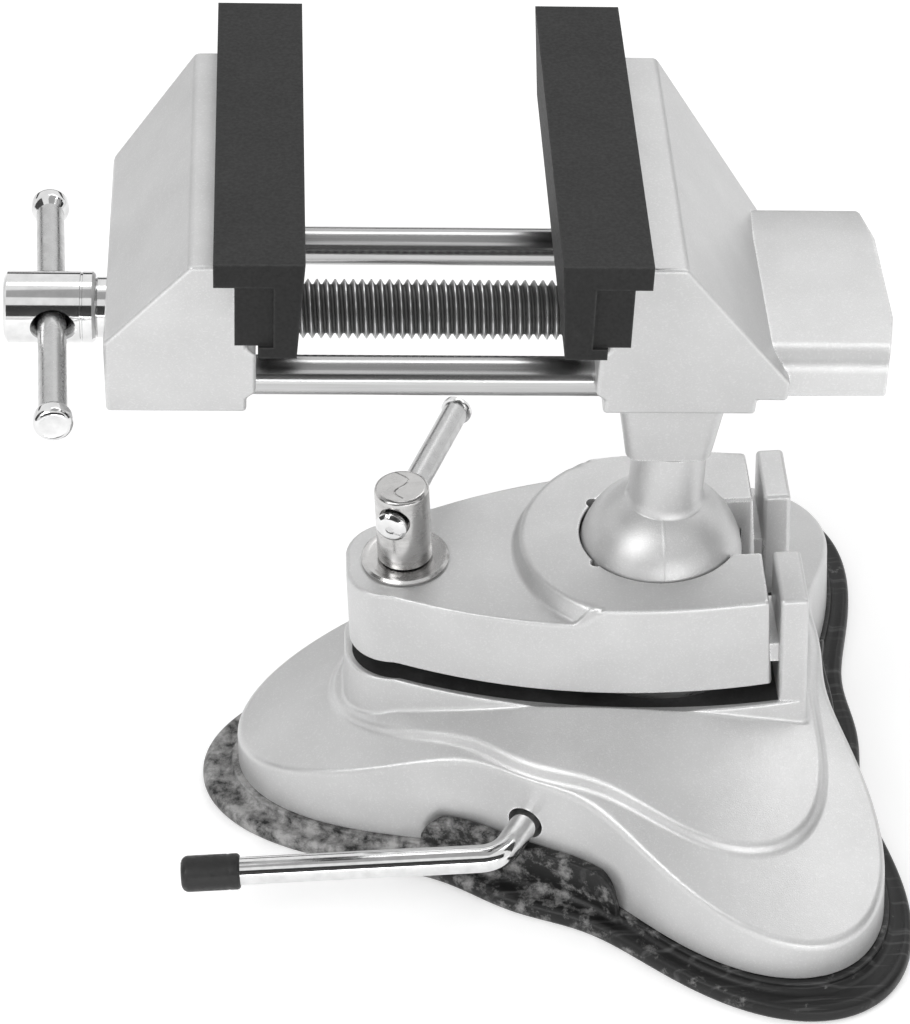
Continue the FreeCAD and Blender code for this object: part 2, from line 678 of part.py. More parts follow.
def fixed_jaw():
    """The jaw casting over the neck with its tail box."""
    body = on_fixed_side(jaw_block(FIXED_BLADE, FIXED_STRIP, FIXED_END, FIXED_SLOPE_Z))
    core_end = FIXED_FACE + FIXED_END
    above = box(FLANGE_END, core_end + 1, -JAW_HALF, JAW_HALF, JAW_BOTTOM - 1, JAW_BOTTOM + FLANGE_RISE)
    body = body.cut(above)
    front = FIXED_FACE + FIXED_BLADE + BLADE_STEM
    heart = box(front, core_end, -HEART_HALF, HEART_HALF, FLARE_TOP, CORE_TOP)
    inside = box(front, core_end, -CORE_HALF, CORE_HALF, JAW_BOTTOM, JAW_BOTTOM + FLANGE_RISE)
    body = body.fuse(tail_box()).fuse(heart).fuse(inside)
    for y in (-ROD_Y, ROD_Y):
        body = body.cut(along_x(ROD_R + RUN, FIXED_FACE, core_end + 1, y))
    body = body.cut(along_x(NUT_CLEAR_R, FIXED_FACE, NUT_START))
    return body.cut(along_x(NUT_R, NUT_START, core_end + 1)).removeSplitter()


def spindle_nut():
    """The threaded bush pressed into the fixed jaw."""
    return along_x(NUT_R, NUT_START, NUT_END).cut(along_x(THREAD_R + RUN, NUT_START, NUT_END))


def moving_jaw():
    """The sliding jaw casting."""
    body = on_moving_side(jaw_block(MOVING_BLADE, MOVING_STRIP, MOVING_END, MOVING_SLOPE_Z))
    end = MOVING_FACE - MOVING_END
    pocket = box(POCKET_START, THREAD_START, -POCKET_HALF, POCKET_HALF, FLARE_TOP - 1, POCKET_TOP)
    body = body.fuse(moving_core()).cut(pocket)
    for y in (-ROD_Y, ROD_Y):
        body = body.cut(along_x(ROD_R, ROD_START, MOVING_FACE, y))
        body = body.cut(bar(ROD_PIN_R, V(ROD_PIN_X, y, ROD_PIN_LOW), V(ROD_PIN_X, y, ROD_PIN_TOP)))
    body = body.cut(along_x(THREAD_R + 2 * RUN, THREAD_START, MOVING_FACE))
    return body.cut(along_x(JOURNAL_R + RUN, end - 1, POCKET_START + 1)).removeSplitter()


def moving_core():
    """The thicker middle of the moving jaw around its shafts."""
    start = MOVING_FACE - MOVING_END
    end = MOVING_FACE - MOVING_BLADE - BLADE_STEM
    return box(start, end, -HEART_HALF, HEART_HALF, FLARE_TOP, CORE_TOP)


def guide_rod(y):
    """One guide rod, fixed in the moving jaw."""
    rod = along_x(ROD_R, ROD_START, ROD_END, y)
    rim = [edge for edge in rod.Edges if edge.BoundBox.XMin > ROD_END - 0.1]
    rod = rod.makeChamfer(0.6, rim)
    return rod.cut(bar(ROD_PIN_R, V(ROD_PIN_X, y, ROD_PIN_LOW), V(ROD_PIN_X, y, ROD_PIN_TOP)))


def rod_pins():
    """The two pins that hold the guide rods."""
    pins = []
    for y in (-ROD_Y, ROD_Y):
        pins.append(on_head(bar(ROD_PIN_R, V(ROD_PIN_X, y, ROD_PIN_LOW), V(ROD_PIN_X, y, ROD_PIN_TOP))))
    return Part.makeCompound(pins)


def spindle():
    """The threaded spindle with its journal and the groove for the clip."""
    body = along_x(THREAD_R, THREAD_START + FACE_GAP, SPINDLE_END)
    rim = [edge for edge in body.Edges if edge.BoundBox.XMin > SPINDLE_END - 0.1]
    body = body.makeChamfer(0.8, rim)
    body = body.fuse(along_x(JOURNAL_R, STUB_START, THREAD_START + 1))
    start = POCKET_START + FACE_GAP
    ring = along_x(JOURNAL_R + 1, start, start + CLIP_THICK)
    return body.cut(ring.cut(along_x(SPINDLE_CLIP_SEAT_R, start, start + CLIP_THICK)))


def spindle_clip():
    """The ring clip behind the end wall of the moving jaw."""
    start = POCKET_START + FACE_GAP
    return along_x(SPINDLE_CLIP_R, start, start + CLIP_THICK).cut(
        along_x(SPINDLE_CLIP_SEAT_R, start, start + CLIP_THICK))


def spindle_collar():
    """The thrust collar between the hub and the moving jaw."""
    end = MOVING_FACE - MOVING_END - FACE_GAP
    return along_x(COLLAR_R, COLLAR_START, end).cut(along_x(JOURNAL_R, COLLAR_START, end))


def tommy_point(along):
    """A point along the sliding bar of the spindle."""
    turn = math.radians(90 + TOMMY_TURN)
    return V(TOMMY_X + along * math.cos(turn), along * math.sin(turn), 0)


def spindle_hub():
    """The round hub on the outer end of the spindle with its cross hole."""
    hub = along_x(HUB_R, HUB_START, COLLAR_START, 0, HUB_CHAMFER)
    hub = hub.cut(along_x(JOURNAL_R, STUB_START, COLLAR_START))
    return hub.cut(bar(TOMMY_R + RUN, tommy_point(-HUB_R - 2), tommy_point(HUB_R + 2)))


def tommy_bar():
    """The sliding bar of the spindle."""
    return bar(TOMMY_R, tommy_point(TOMMY_NEAR + 1), tommy_point(TOMMY_FAR - 1))


def tommy_bar_caps():
    """The two end caps of the sliding bar."""
    near = bar(TOMMY_CAP_R, tommy_point(TOMMY_NEAR), tommy_point(TOMMY_NEAR + TOMMY_CAP_LONG), TOMMY_CAP_CHAMFER)
    far = bar(TOMMY_CAP_R, tommy_point(TOMMY_FAR - TOMMY_CAP_LONG), tommy_point(TOMMY_FAR), TOMMY_CAP_CHAMFER)
    rod = tommy_bar()
    return Part.makeCompound([on_head(near.cut(rod)), on_head(far.cut(rod))])


housing = base_housing()
save("base_housing", housing)
save("suction_pad", suction_pad(housing))
save("ball_cup", ball_cup())
save("lift_plate", lift_plate())
save("lift_stud", lift_stud())
save("lever_rod", lever_rod())
save("lever_cam", lever_cam())
save("lever_clip", lever_clip())
save("lever_grip", lever_grip())
save("clamp_plate", clamp_plate())
save("clamp_washer", clamp_washer())
save("clamp_stud", clamp_stud())
save("clamp_barrel", clamp_barrel())
save("clamp_bar", clamp_bar())
save("clamp_bar_caps", clamp_bar_caps())
save("ball", ball())
save("neck", on_neck(neck()))
save("fixed_jaw", on_head(fixed_jaw()))
save("fixed_jaw_pad", on_head(on_fixed_side(jaw_pad_block(FIXED_BLADE))))
save("spindle_nut", on_head(spindle_nut()))
save("moving_jaw", on_head(moving_jaw()))
save("moving_jaw_pad", on_head(on_moving_side(jaw_pad_block(MOVING_BLADE))))
save("guide_rod_front", on_head(guide_rod(-ROD_Y)))
save("guide_rod_back", on_head(guide_rod(ROD_Y)))
save("rod_pins", rod_pins())
save("spindle", on_head(spindle()))
save("spindle_clip", on_head(spindle_clip()))
save("spindle_collar", on_head(spindle_collar()))
save("spindle_hub", on_head(spindle_hub()))
save("tommy_bar", on_head(tommy_bar()))
save("tommy_bar_caps", tommy_bar_caps())
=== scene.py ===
"""Suction base vise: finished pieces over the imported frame, with finishes, studio and camera."""

import logging
import math
from dataclasses import dataclass, field
from enum import Enum
from typing import Callable, Sequence

import bmesh
import bpy
from mathutils import Matrix, Vector


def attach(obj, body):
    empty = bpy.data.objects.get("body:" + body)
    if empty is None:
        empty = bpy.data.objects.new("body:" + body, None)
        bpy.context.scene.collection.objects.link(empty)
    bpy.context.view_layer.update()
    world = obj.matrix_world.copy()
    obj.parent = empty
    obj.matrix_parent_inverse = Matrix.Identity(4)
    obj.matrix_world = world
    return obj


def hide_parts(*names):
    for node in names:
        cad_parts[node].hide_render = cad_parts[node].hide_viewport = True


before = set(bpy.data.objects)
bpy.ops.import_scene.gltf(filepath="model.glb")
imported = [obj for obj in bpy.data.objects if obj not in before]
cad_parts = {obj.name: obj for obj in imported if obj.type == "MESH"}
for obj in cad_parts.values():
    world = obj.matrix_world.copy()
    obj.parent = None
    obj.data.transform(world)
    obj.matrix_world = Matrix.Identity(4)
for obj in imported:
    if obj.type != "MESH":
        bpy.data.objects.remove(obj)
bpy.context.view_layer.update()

MM = 0.001
FULL = 2 * math.pi
AHEAD = Vector((1, 0, 0))
UP = Vector((0, 0, 1))
LOG = logging.getLogger("vise")
Ring = list[Vector]
Outline = list[tuple[float, float]]
Piece = bpy.types.Object
Socket = bpy.types.NodeSocket
Material = bpy.types.Material


class Body(Enum):
    """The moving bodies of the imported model."""

    BASE = "base"
    LEVER = "lever"
    CLAMP_KNOB = "clamp_knob"
    CLAMP_HANDLE = "clamp_handle"
    CLAMP_COVER = "clamp_cover"
    BALL = "ball_body"
    NECK = "neck_body"
    HEAD = "head"
    SLIDING_JAW = "sliding_jaw"
    SCREW = "screw"
    SCREW_HANDLE = "screw_handle"


class Join(Enum):
    """How one solid changes another."""

    ADD = "UNION"
    CUT = "DIFFERENCE"


# Mesh helpers


def put_mesh(name: str, points: Sequence[Vector], faces: Sequence[Sequence[int]]) -> Piece:
    """Makes a closed mesh from points in millimetres.

    Args:
        name: Name of the piece.
        points: Corner points in millimetres.
        faces: Corner numbers of each face.

    Returns:
        The new object, in metres.
    """
    mesh = bpy.data.meshes.new(name)
    mesh.from_pydata([point * MM for point in points], [], faces)
    work = bmesh.new()
    work.from_mesh(mesh)
    bmesh.ops.remove_doubles(work, verts=work.verts, dist=1e-7)
    bmesh.ops.recalc_face_normals(work, faces=work.faces)
    work.to_mesh(mesh)
    work.free()
    piece = bpy.data.objects.new(name, mesh)
    bpy.context.scene.collection.objects.link(piece)
    return piece


def ring_solid(name: str, rings: Sequence[Ring], looped: bool = False) -> Piece:
    """Skins a row of rings into a closed solid.

    Args:
        name: Name of the piece.
        rings: Rings of equally many points.
        looped: True when the last ring meets the first one.

    Returns:
        The new object.
    """
    count = len(rings[0])
    faces: list[tuple[int, ...]] = []
    for row in range(len(rings) if looped else len(rings) - 1):
        low = row * count
        high = ((row + 1) % len(rings)) * count
        for i in range(count):
            j = (i + 1) % count
            faces.append((low + i, low + j, high + j, high + i))
    if not looped:
        faces.append(tuple(reversed(range(count))))
        faces.append(tuple(range((len(rings) - 1) * count, len(rings) * count)))
    return put_mesh(name, [point for ring in rings for point in ring], faces)


def block(name: str, low: tuple[float, float, float], high: tuple[float, float, float]) -> Piece:
    """Makes a box between two corners in millimetres."""
    floor = [(low[0], low[1]), (high[0], low[1]), (high[0], high[1]), (low[0], high[1])]
    return ring_solid(name, [[Vector((x, y, z)) for x, y in floor] for z in (low[2], high[2])])


def circle(steps: int) -> list[float]:
    """Lists evenly spread directions in radians."""
    return [FULL * step / steps for step in range(steps)]


def turned(name: str, profile: Outline, start: Vector, along: Vector, steps: int = 64) -> Piece:
    """Turns a profile about an axis.

    Args:
        name: Name of the piece.
        profile: Pairs of distance along the axis and radius, in millimetres.
        start: Start of the axis in millimetres.
        along: Direction of the axis.
        steps: Points around each ring.

    Returns:
        The new object.
    """
    line = along.normalized()
    side = line.orthogonal().normalized()
    other = line.cross(side)
    rings = []
    for distance, radius in profile:
        rings.append([start + line * distance + (side * math.cos(t) + other * math.sin(t)) * radius
                      for t in circle(steps)])
    return ring_solid(name, rings)


def rod_profile(length: float, radius: float, chamfer: float) -> Outline:
    """Gives the profile of a plain rod with chamfered ends."""
    small = radius - chamfer
    return [(0, small), (chamfer, radius), (length - chamfer, radius), (length, small)]


def bake(piece: Piece) -> None:
    """Turns the modifiers of a piece into its mesh."""
    graph = bpy.context.evaluated_depsgraph_get()
    made = bpy.data.meshes.new_from_object(piece.evaluated_get(graph), depsgraph=graph)
    old = piece.data
    piece.modifiers.clear()
    piece.data = made
    bpy.data.meshes.remove(old)
    made.name = piece.name


def change(piece: Piece, tools: Sequence[Piece], way: Join) -> Piece:
    """Adds solids to a piece or cuts them out of it, and removes the tools."""
    for tool in tools:
        step = piece.modifiers.new("join", "BOOLEAN")
        step.operation = way.value
        step.solver = "EXACT"
        step.object = tool
        bake(piece)
        mesh = tool.data
        bpy.data.objects.remove(tool)
        bpy.data.meshes.remove(mesh)
    return piece


def round_edges(piece: Piece, width: float, segments: int = 3, angle: float = 30.0) -> Piece:
    """Rounds every edge that is sharper than an angle.

    Args:
        piece: The piece to round.
        width: Width of the rounding in millimetres.
        segments: Faces across the rounding.
        angle: Least angle of an edge in degrees.

    Returns:
        The same piece.
    """
    step = piece.modifiers.new("round", "BEVEL")
    step.width = width * MM
    step.segments = segments
    step.limit_method = "ANGLE"
    step.angle_limit = math.radians(angle)
    bake(piece)
    return piece


def settle(piece: Piece, body: Body, finish: Material, nodes: Sequence[str] = (),
           sharp: float = 40.0) -> None:
    """Shades a piece, gives it its finish and lets it ride on its body.

    Args:
        piece: The piece, in place.
        body: The body that it moves with.
        finish: Its material.
        nodes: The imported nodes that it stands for.
        sharp: Edges above this angle in degrees stay sharp.
    """
    mesh = piece.data
    if not mesh.materials:
        mesh.materials.append(finish)
    mesh.shade_smooth()
    mesh.set_sharp_from_angle(angle=math.radians(sharp))
    weigh = piece.modifiers.new("weigh", "WEIGHTED_NORMAL")
    weigh.keep_sharp = True
    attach(piece, body.value)
    if nodes:
        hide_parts(*nodes)
    LOG.info("made %s on %s, %d faces", piece.name, body.value, len(mesh.polygons))


def rounded_corner(before: Vector, corner: Vector, after: Vector, reach: float, steps: int = 5) -> Ring:
    """Replaces a corner of a profile by a soft bend.

    Args:
        before: The point before the corner.
        corner: The corner.
        after: The point after the corner.
        reach: Length taken from each side, at most just under half of it.
        steps: Spaces along the bend.

    Returns:
        The points of the bend.
    """
    most = 0.48
    back = before - corner
    ahead = after - corner
    first = corner + back.normalized() * min(reach, most * back.length)
    last = corner + ahead.normalized() * min(reach, most * ahead.length)
    bend = []
    for step in range(steps + 1):
        part = step / steps
        bend.append(first * (1 - part) ** 2 + corner * (2 * part * (1 - part)) + last * part ** 2)
    return bend


def soft_profile(corners: Sequence[tuple[float, float, float]], closed: bool = False) -> Outline:
    """Bends the corners of a profile with a reach each.

    Args:
        corners: Radius, height and reach of each corner; a reach of 0 keeps one point.
        closed: True when the profile runs back to its start; an open one keeps its two ends.

    Returns:
        Pairs of radius and height.
    """
    points = [Vector(corner[:2]) for corner in corners]
    count = len(points)
    made = []
    for i, corner in enumerate(corners):
        if corner[2] == 0 or (not closed and i in (0, count - 1)):
            made.append(points[i])
        else:
            made.extend(rounded_corner(points[i - 1], points[i], points[(i + 1) % count], corner[2]))
    return [(point.x, point.y) for point in made]


def arc_points(first: Vector, middle: Vector, last: Vector, steps: int) -> Ring:
    """Gives points on the arc through three flat points, the last one left out."""
    a = middle - first
    b = last - first
    d = 2 * (a.x * b.y - a.y * b.x)
    centre = first + Vector(((b.y * a.length_squared - a.y * b.length_squared) / d,
                             (a.x * b.length_squared - b.x * a.length_squared) / d))
    radius = (first - centre).length
    start = math.atan2(first.y - centre.y, first.x - centre.x)
    end = math.atan2(last.y - centre.y, last.x - centre.x)
    span = (end - start + math.pi) % FULL - math.pi
    turns = [start + span * i / steps for i in range(steps)]
    return [centre + Vector((math.cos(turn), math.sin(turn))) * radius for turn in turns]


def quarter_bend(side: float, top: float, reach: float, steps: int) -> Outline:
    """Gives the round shoulder at the negative side of a cross section, from its foot to its top."""
    bend = []
    for i in range(steps + 1):
        turn = math.radians(180 - 90 * i / steps)
        bend.append((-side + reach + reach * math.cos(turn), top - reach + reach * math.sin(turn)))
    return bend


def ray_radius(outline: Outline, centre: tuple[float, float], turn: float) -> float:
    """Finds how far an outline lies from a point in one direction.

    Args:
        outline: The closed outline.
        centre: A point inside it.
        turn: The direction in radians.

    Returns:
        The distance in the unit of the outline.
    """
    way = (math.cos(turn), math.sin(turn))
    near = 1e-6
    best = 0.0
    for i, (x1, y1) in enumerate(outline):
        x0, y0 = outline[i - 1]
        ex, ey = x1 - x0, y1 - y0
        d = way[0] * ey - way[1] * ex
        if abs(d) < 1e-12:
            continue
        px, py = x0 - centre[0], y0 - centre[1]
        distance = (px * ey - py * ex) / d
        share = (px * way[1] - py * way[0]) / d
        if distance > 0 and -near <= share <= 1 + near:
            best = max(best, distance)
    return best


# Shader helpers


@dataclass
class Graph:
    """A node tree with short ways to add and link nodes."""

    tree: bpy.types.NodeTree

    def node(self, kind: str, **values: object) -> bpy.types.Node:
        """Adds a node.

        Args:
            kind: The node type.
            values: Properties, or inputs where the key starts with in_ and a socket number.

        Returns:
            The node.
        """
        made = self.tree.nodes.new(kind)
        for key, value in values.items():
            if key.startswith("in_"):
                made.inputs[int(key[3:])].default_value = value
            else:
                setattr(made, key, value)
        return made

    def link(self, source: Socket, target: Socket) -> None:
        """Links one socket to another."""
        self.tree.links.new(source, target)

    def place(self) -> Socket:
        """Gives the coordinates on the object."""
        return self.node("ShaderNodeTexCoord").outputs["Object"]

    def split(self, value: Socket) -> bpy.types.Node:
        """Splits a vector into X, Y and Z."""
        made = self.node("ShaderNodeSeparateXYZ")
        self.link(value, made.inputs[0])
        return made

    def noise(self, place: Socket, scale: float, detail: float = 2.0, rough: float = 0.5) -> Socket:
        """Adds a noise texture.

        Args:
            place: The coordinates.
            scale: Waves for each metre.
            detail: Octaves.
            rough: Share of each further octave.

        Returns:
            The value socket.
        """
        made = self.node("ShaderNodeTexNoise")
        made.inputs["Scale"].default_value = scale
        made.inputs["Detail"].default_value = detail
        made.inputs["Roughness"].default_value = rough
        self.link(place, made.inputs["Vector"])
        return made.outputs[0]

    def span(self, value: Socket, low: float, high: float, to_low: float = 0.0,
             to_high: float = 1.0) -> Socket:
        """Maps a value from one range to another and clamps it."""
        made = self.node("ShaderNodeMapRange", in_1=low, in_2=high, in_3=to_low, in_4=to_high)
        self.link(value, made.inputs[0])
        return made.outputs[0]

    def math(self, kind: str, first: Socket, second: Socket | float, clamp: bool = False) -> Socket:
        """Combines two values."""
        made = self.node("ShaderNodeMath", operation=kind, use_clamp=clamp)
        self.link(first, made.inputs[0])
        if isinstance(second, (int, float)):
            made.inputs[1].default_value = second
        else:
            self.link(second, made.inputs[1])
        return made.outputs[0]

    def blend(self, share: Socket, first: object, second: object) -> Socket:
        """Mixes two colours, each a socket or a colour value."""
        made = self.node("ShaderNodeMix", data_type="RGBA")
        self.link(share, made.inputs[0])
        for place, value in ((6, first), (7, second)):
            if isinstance(value, Socket):
                self.link(value, made.inputs[place])
            else:
                made.inputs[place].default_value = value
        return made.outputs[2]


class Group(Graph):
    """A shader node group in the making, with value sockets only."""

    def __init__(self, name: str, inputs: Sequence[tuple[str, float]], outputs: Sequence[str]) -> None:
        """Starts the group.

        Args:
            name: Name of the group.
            inputs: Name and default of each input.
            outputs: Names of the outputs.
        """
        super().__init__(bpy.data.node_groups.new(name, "ShaderNodeTree"))
        for label, value in inputs:
            made = self.tree.interface.new_socket(label, in_out="INPUT", socket_type="NodeSocketFloat")
            made.default_value = value
        for label in outputs:
            self.tree.interface.new_socket(label, in_out="OUTPUT", socket_type="NodeSocketFloat")
        self.given = self.node("NodeGroupInput").outputs
        self.result = self.node("NodeGroupOutput").inputs


def grain_group() -> bpy.types.NodeTree:
    """Builds the fine grain of castings and rubber: height, glitter and cloud."""
    group = Group("Fine grain", [("Fineness", 3000.0)], ["Height", "Glitter", "Cloud"])
    place = group.place()
    fine = group.node("ShaderNodeTexNoise")
    fine.inputs["Detail"].default_value = 3.0
    group.link(place, fine.inputs["Vector"])
    group.link(group.given["Fineness"], fine.inputs["Scale"])
    cells = group.node("ShaderNodeTexVoronoi")
    group.link(place, cells.inputs["Vector"])
    group.link(group.math("MULTIPLY", group.given["Fineness"], 0.8), cells.inputs["Scale"])
    tone = group.node("ShaderNodeSeparateColor")
    group.link(cells.outputs["Color"], tone.inputs[0])
    group.link(fine.outputs[0], group.result["Height"])
    group.link(group.span(tone.outputs[0], 0.75, 1.0), group.result["Glitter"])
    group.link(group.span(group.noise(place, 90.0, 3.0), 0.3, 0.7), group.result["Cloud"])
    return group.tree


def edge_wear_and_highlight_group() -> bpy.types.NodeTree:
    """Builds the mask along outer edges, for rubbed wear and for the painted highlight on silver edges."""
    group = Group("Edge wear and highlight", [("Width", 0.0006), ("Amount", 1.0)], ["Mask"])
    soft = group.node("ShaderNodeBevel", samples=4)
    group.link(group.given["Width"], soft.inputs["Radius"])
    plain = group.node("ShaderNodeNewGeometry")
    dot = group.node("ShaderNodeVectorMath", operation="DOT_PRODUCT")
    group.link(soft.outputs[0], dot.inputs[0])
    group.link(plain.outputs["Normal"], dot.inputs[1])
    edge = group.span(dot.outputs["Value"], 0.99, 0.9)
    torn = group.span(group.noise(group.place(), 900.0, 3.0), 0.35, 0.6, 0.35, 1.0)
    mask = group.math("MULTIPLY", edge, torn)
    group.link(group.math("MULTIPLY", mask, group.given["Amount"], True), group.result["Mask"])
    return group.tree


def dust_group() -> bpy.types.NodeTree:
    """Builds the patchy scuffs and dust of handled rubber."""
    group = Group("Dust", [("Cover", 0.5)], ["Mask", "Streak"])
    place = group.place()
    lifted = group.math("ADD", group.noise(place, 230.0, 8.0, 0.72), group.given["Cover"])
    group.link(group.span(lifted, 1.0, 1.22), group.result["Mask"])
    turn = group.node("ShaderNodeMapping")
    turn.inputs["Rotation"].default_value = (0.3, 0.2, 0.7)
    turn.inputs["Scale"].default_value = (60.0, 900.0, 300.0)
    group.link(place, turn.inputs["Vector"])
    group.link(group.span(group.noise(turn.outputs[0], 1.0, 4.0), 0.56, 0.72), group.result["Streak"])
    return group.tree


def lines_group() -> bpy.types.NodeTree:
    """Builds the fine lines that polishing leaves across a bar, along X, Y or Z."""
    group = Group("Polishing lines", [("Along X", 40.0), ("Along Y", 3000.0), ("Along Z", 3000.0)], ["Lines"])
    stretch = group.node("ShaderNodeCombineXYZ")
    for i in range(3):
        group.link(group.given[i], stretch.inputs[i])
    scaled = group.node("ShaderNodeVectorMath", operation="MULTIPLY")
    group.link(group.place(), scaled.inputs[0])
    group.link(stretch.outputs[0], scaled.inputs[1])
    group.link(group.span(group.noise(scaled.outputs[0], 1.0, 3.0), 0.3, 0.7), group.result["Lines"])
    return group.tree


@dataclass
class Effects:
    """The shader effects that several finishes share."""

    grain: bpy.types.NodeTree = field(default_factory=grain_group)
    # mask of edges: rubbed wear and painted highlight
    wear: bpy.types.NodeTree = field(default_factory=edge_wear_and_highlight_group)
    dust: bpy.types.NodeTree = field(default_factory=dust_group)
    lines: bpy.types.NodeTree = field(default_factory=lines_group)


def grey(value: float, warm: float = 0.0) -> tuple[float, float, float, float]:
    """Gives a grey, a little warmer or cooler."""
    return (value * (1 + warm), value, value * (1 - warm), 1.0)


class Coat:
    """A material in the making: its tree, its main shader, its grain and its effects."""

    def __init__(self, name: str, metallic: float, rough: float, effects: Effects, fineness: float) -> None:
        """Starts a material.

        Args:
            name: Name of the material.
            metallic: Metallic value, the same all over.
            rough: Roughness before any variation.
            effects: The shared effects.
            fineness: Grains for each metre.
        """
        self.material = bpy.data.materials.new(name)
        self.material.use_nodes = True
        self.graph = Graph(self.material.node_tree)
        self.shader = self.material.node_tree.nodes["Principled BSDF"]
        self.set("Metallic", metallic)
        self.set("Roughness", rough)
        self.effects = effects
        self.grain = self.effect(effects.grain, Fineness=fineness)

    def set(self, socket: str, value: float) -> None:
        """Sets a value that is the same all over."""
        self.shader.inputs[socket].default_value = value

    def effect(self, tree: bpy.types.NodeTree, **values: float) -> bpy.types.Node:
        """Places a shared effect with its own values, spaces in names written as underscores."""
        made = self.graph.node("ShaderNodeGroup")
        made.node_tree = tree
        for key, value in values.items():
            made.inputs[key.replace("_", " ")].default_value = value
        return made

    def worn(self, width: float, amount: float) -> Socket:
        """Gives the mask along edges, for rubbed wear and for painted highlight on silver edges."""
        return self.effect(self.effects.wear, Width=width, Amount=amount).outputs["Mask"]

    def cloudy(self, first: float, second: float) -> Socket:
        """Gives a colour that drifts between two greys."""
        return self.graph.blend(self.grain.outputs["Cloud"], grey(first), grey(second))

    def share(self, mask: Socket, part: float) -> Socket:
        """Gives a part of a mask."""
        return self.graph.math("MULTIPLY", mask, part)

    def grain_rough(self, low: float, high: float) -> Socket:
        """Gives a roughness that follows the grain."""
        return self.graph.span(self.grain.outputs["Height"], 0.3, 0.7, low, high)

    def feed(self, socket: str, value: Socket) -> None:
        """Feeds a socket of the main shader."""
        self.graph.link(value, self.shader.inputs[socket])

    def bump(self, depth: float, strength: float, height: Socket | None = None) -> None:
        """Raises the surface by a height map.

        Args:
            depth: Its depth in millimetres.
            strength: Share of the effect.
            height: The height, 0 to 1, or none for the grain.
        """
        made = self.graph.node("ShaderNodeBump")
        made.inputs["Strength"].default_value = strength
        made.inputs["Distance"].default_value = depth * MM
        self.graph.link(height or self.grain.outputs["Height"], made.inputs["Height"])
        self.feed("Normal", made.outputs[0])


@dataclass(frozen=True)
class CastSilver:
    """Silver painted casting with a fine sparkle and brighter edges, partly rubbed wear and partly painted
    highlight.
    """

    body: float = 0.62
    dark: float = 0.57
    sparkle: float = 0.95
    # tone of the edges: rubbed wear and painted highlight
    edge: float = 0.97
    metallic: float = 0.66
    rough: float = 0.36
    fineness: float = 5200.0
    grain_depth: float = 0.05

    def make(self, effects: Effects) -> Material:
        """Builds the material."""
        coat = Coat("cast_silver", self.metallic, self.rough, effects, self.fineness)
        graph = coat.graph
        wear = coat.worn(0.0007, 1.0)
        base = coat.cloudy(self.dark, self.body)
        glitter = graph.blend(coat.share(coat.grain.outputs["Glitter"], 0.16), base, grey(self.sparkle))
        # edges lightened: rubbed wear and painted highlight
        coat.feed("Base Color", graph.blend(wear, glitter, grey(self.edge)))
        coat.feed("Roughness", graph.math("SUBTRACT", coat.grain_rough(self.rough - 0.06, self.rough + 0.08),
                                          coat.share(wear, 0.12)))
        coat.bump(self.grain_depth, 0.8)
        return coat.material


@dataclass(frozen=True)
class BlackRubber:
    """Soft black rubber with grey scuffs and dust, thicker towards the left lobe."""

    body: float = 0.007
    scuff: float = 0.42
    edge: float = 0.09
    rough: float = 0.5
    fineness: float = 1500.0
    dusty_x: float = -0.060
    clean_x: float = 0.025
    most_dust: float = 0.64
    least_dust: float = 0.40

    def make(self, effects: Effects) -> Material:
        """Builds the material."""
        coat = Coat("rubber_black", 0.0, self.rough, effects, self.fineness)
        coat.set("Specular IOR Level", 0.35)
        graph = coat.graph
        dust = coat.effect(effects.dust)
        apart = graph.split(graph.place())
        graph.link(graph.span(apart.outputs[0], self.dusty_x, self.clean_x, self.most_dust, self.least_dust),
                   dust.inputs["Cover"])
        base = coat.cloudy(self.body * 0.7, self.body * 1.5)
        dusty = graph.blend(coat.share(dust.outputs["Mask"], 0.85), base, grey(self.scuff, 0.01))
        streaked = graph.blend(coat.share(dust.outputs["Streak"], 0.12), dusty, grey(self.scuff))
        coat.feed("Base Color", graph.blend(coat.worn(0.0008, 0.5), streaked, grey(self.edge)))
        coat.feed("Roughness", graph.span(dust.outputs["Mask"], 0.0, 1.0, 0.40, 0.85))
        coat.bump(0.06, 0.6)
        return coat.material


@dataclass(frozen=True)
class CharcoalRubber:
    """Dense black rubber of the jaw covers, with painted light: faces that look up are painted a lighter
    tone.
    """

    painted_top_light: float = 0.020
    bare: float = 0.009
    worn: float = 0.045
    rough: float = 0.62
    fineness: float = 1900.0

    def make(self, effects: Effects) -> Material:
        """Builds the material."""
        coat = Coat("rubber_charcoal", 0.0, self.rough, effects, self.fineness)
        coat.set("Specular IOR Level", 0.3)
        graph = coat.graph
        dust = coat.effect(effects.dust, Cover=0.42)
        upright = graph.split(graph.node("ShaderNodeNewGeometry").outputs["True Normal"])
        # painted light: faces that look up are given the lighter tone
        base = graph.blend(graph.span(upright.outputs[2], 0.3, 0.9),
                           coat.cloudy(self.bare * 0.8, self.bare * 1.2),
                           coat.cloudy(self.painted_top_light * 0.9, self.painted_top_light * 1.1))
        dusty = graph.blend(coat.share(dust.outputs["Mask"], 0.35), base, grey(self.worn))
        coat.feed("Base Color", graph.blend(coat.worn(0.0006, 0.7), dusty, grey(self.worn)))
        coat.feed("Roughness", coat.grain_rough(self.rough - 0.08, self.rough + 0.1))
        coat.bump(0.04, 0.5)
        return coat.material


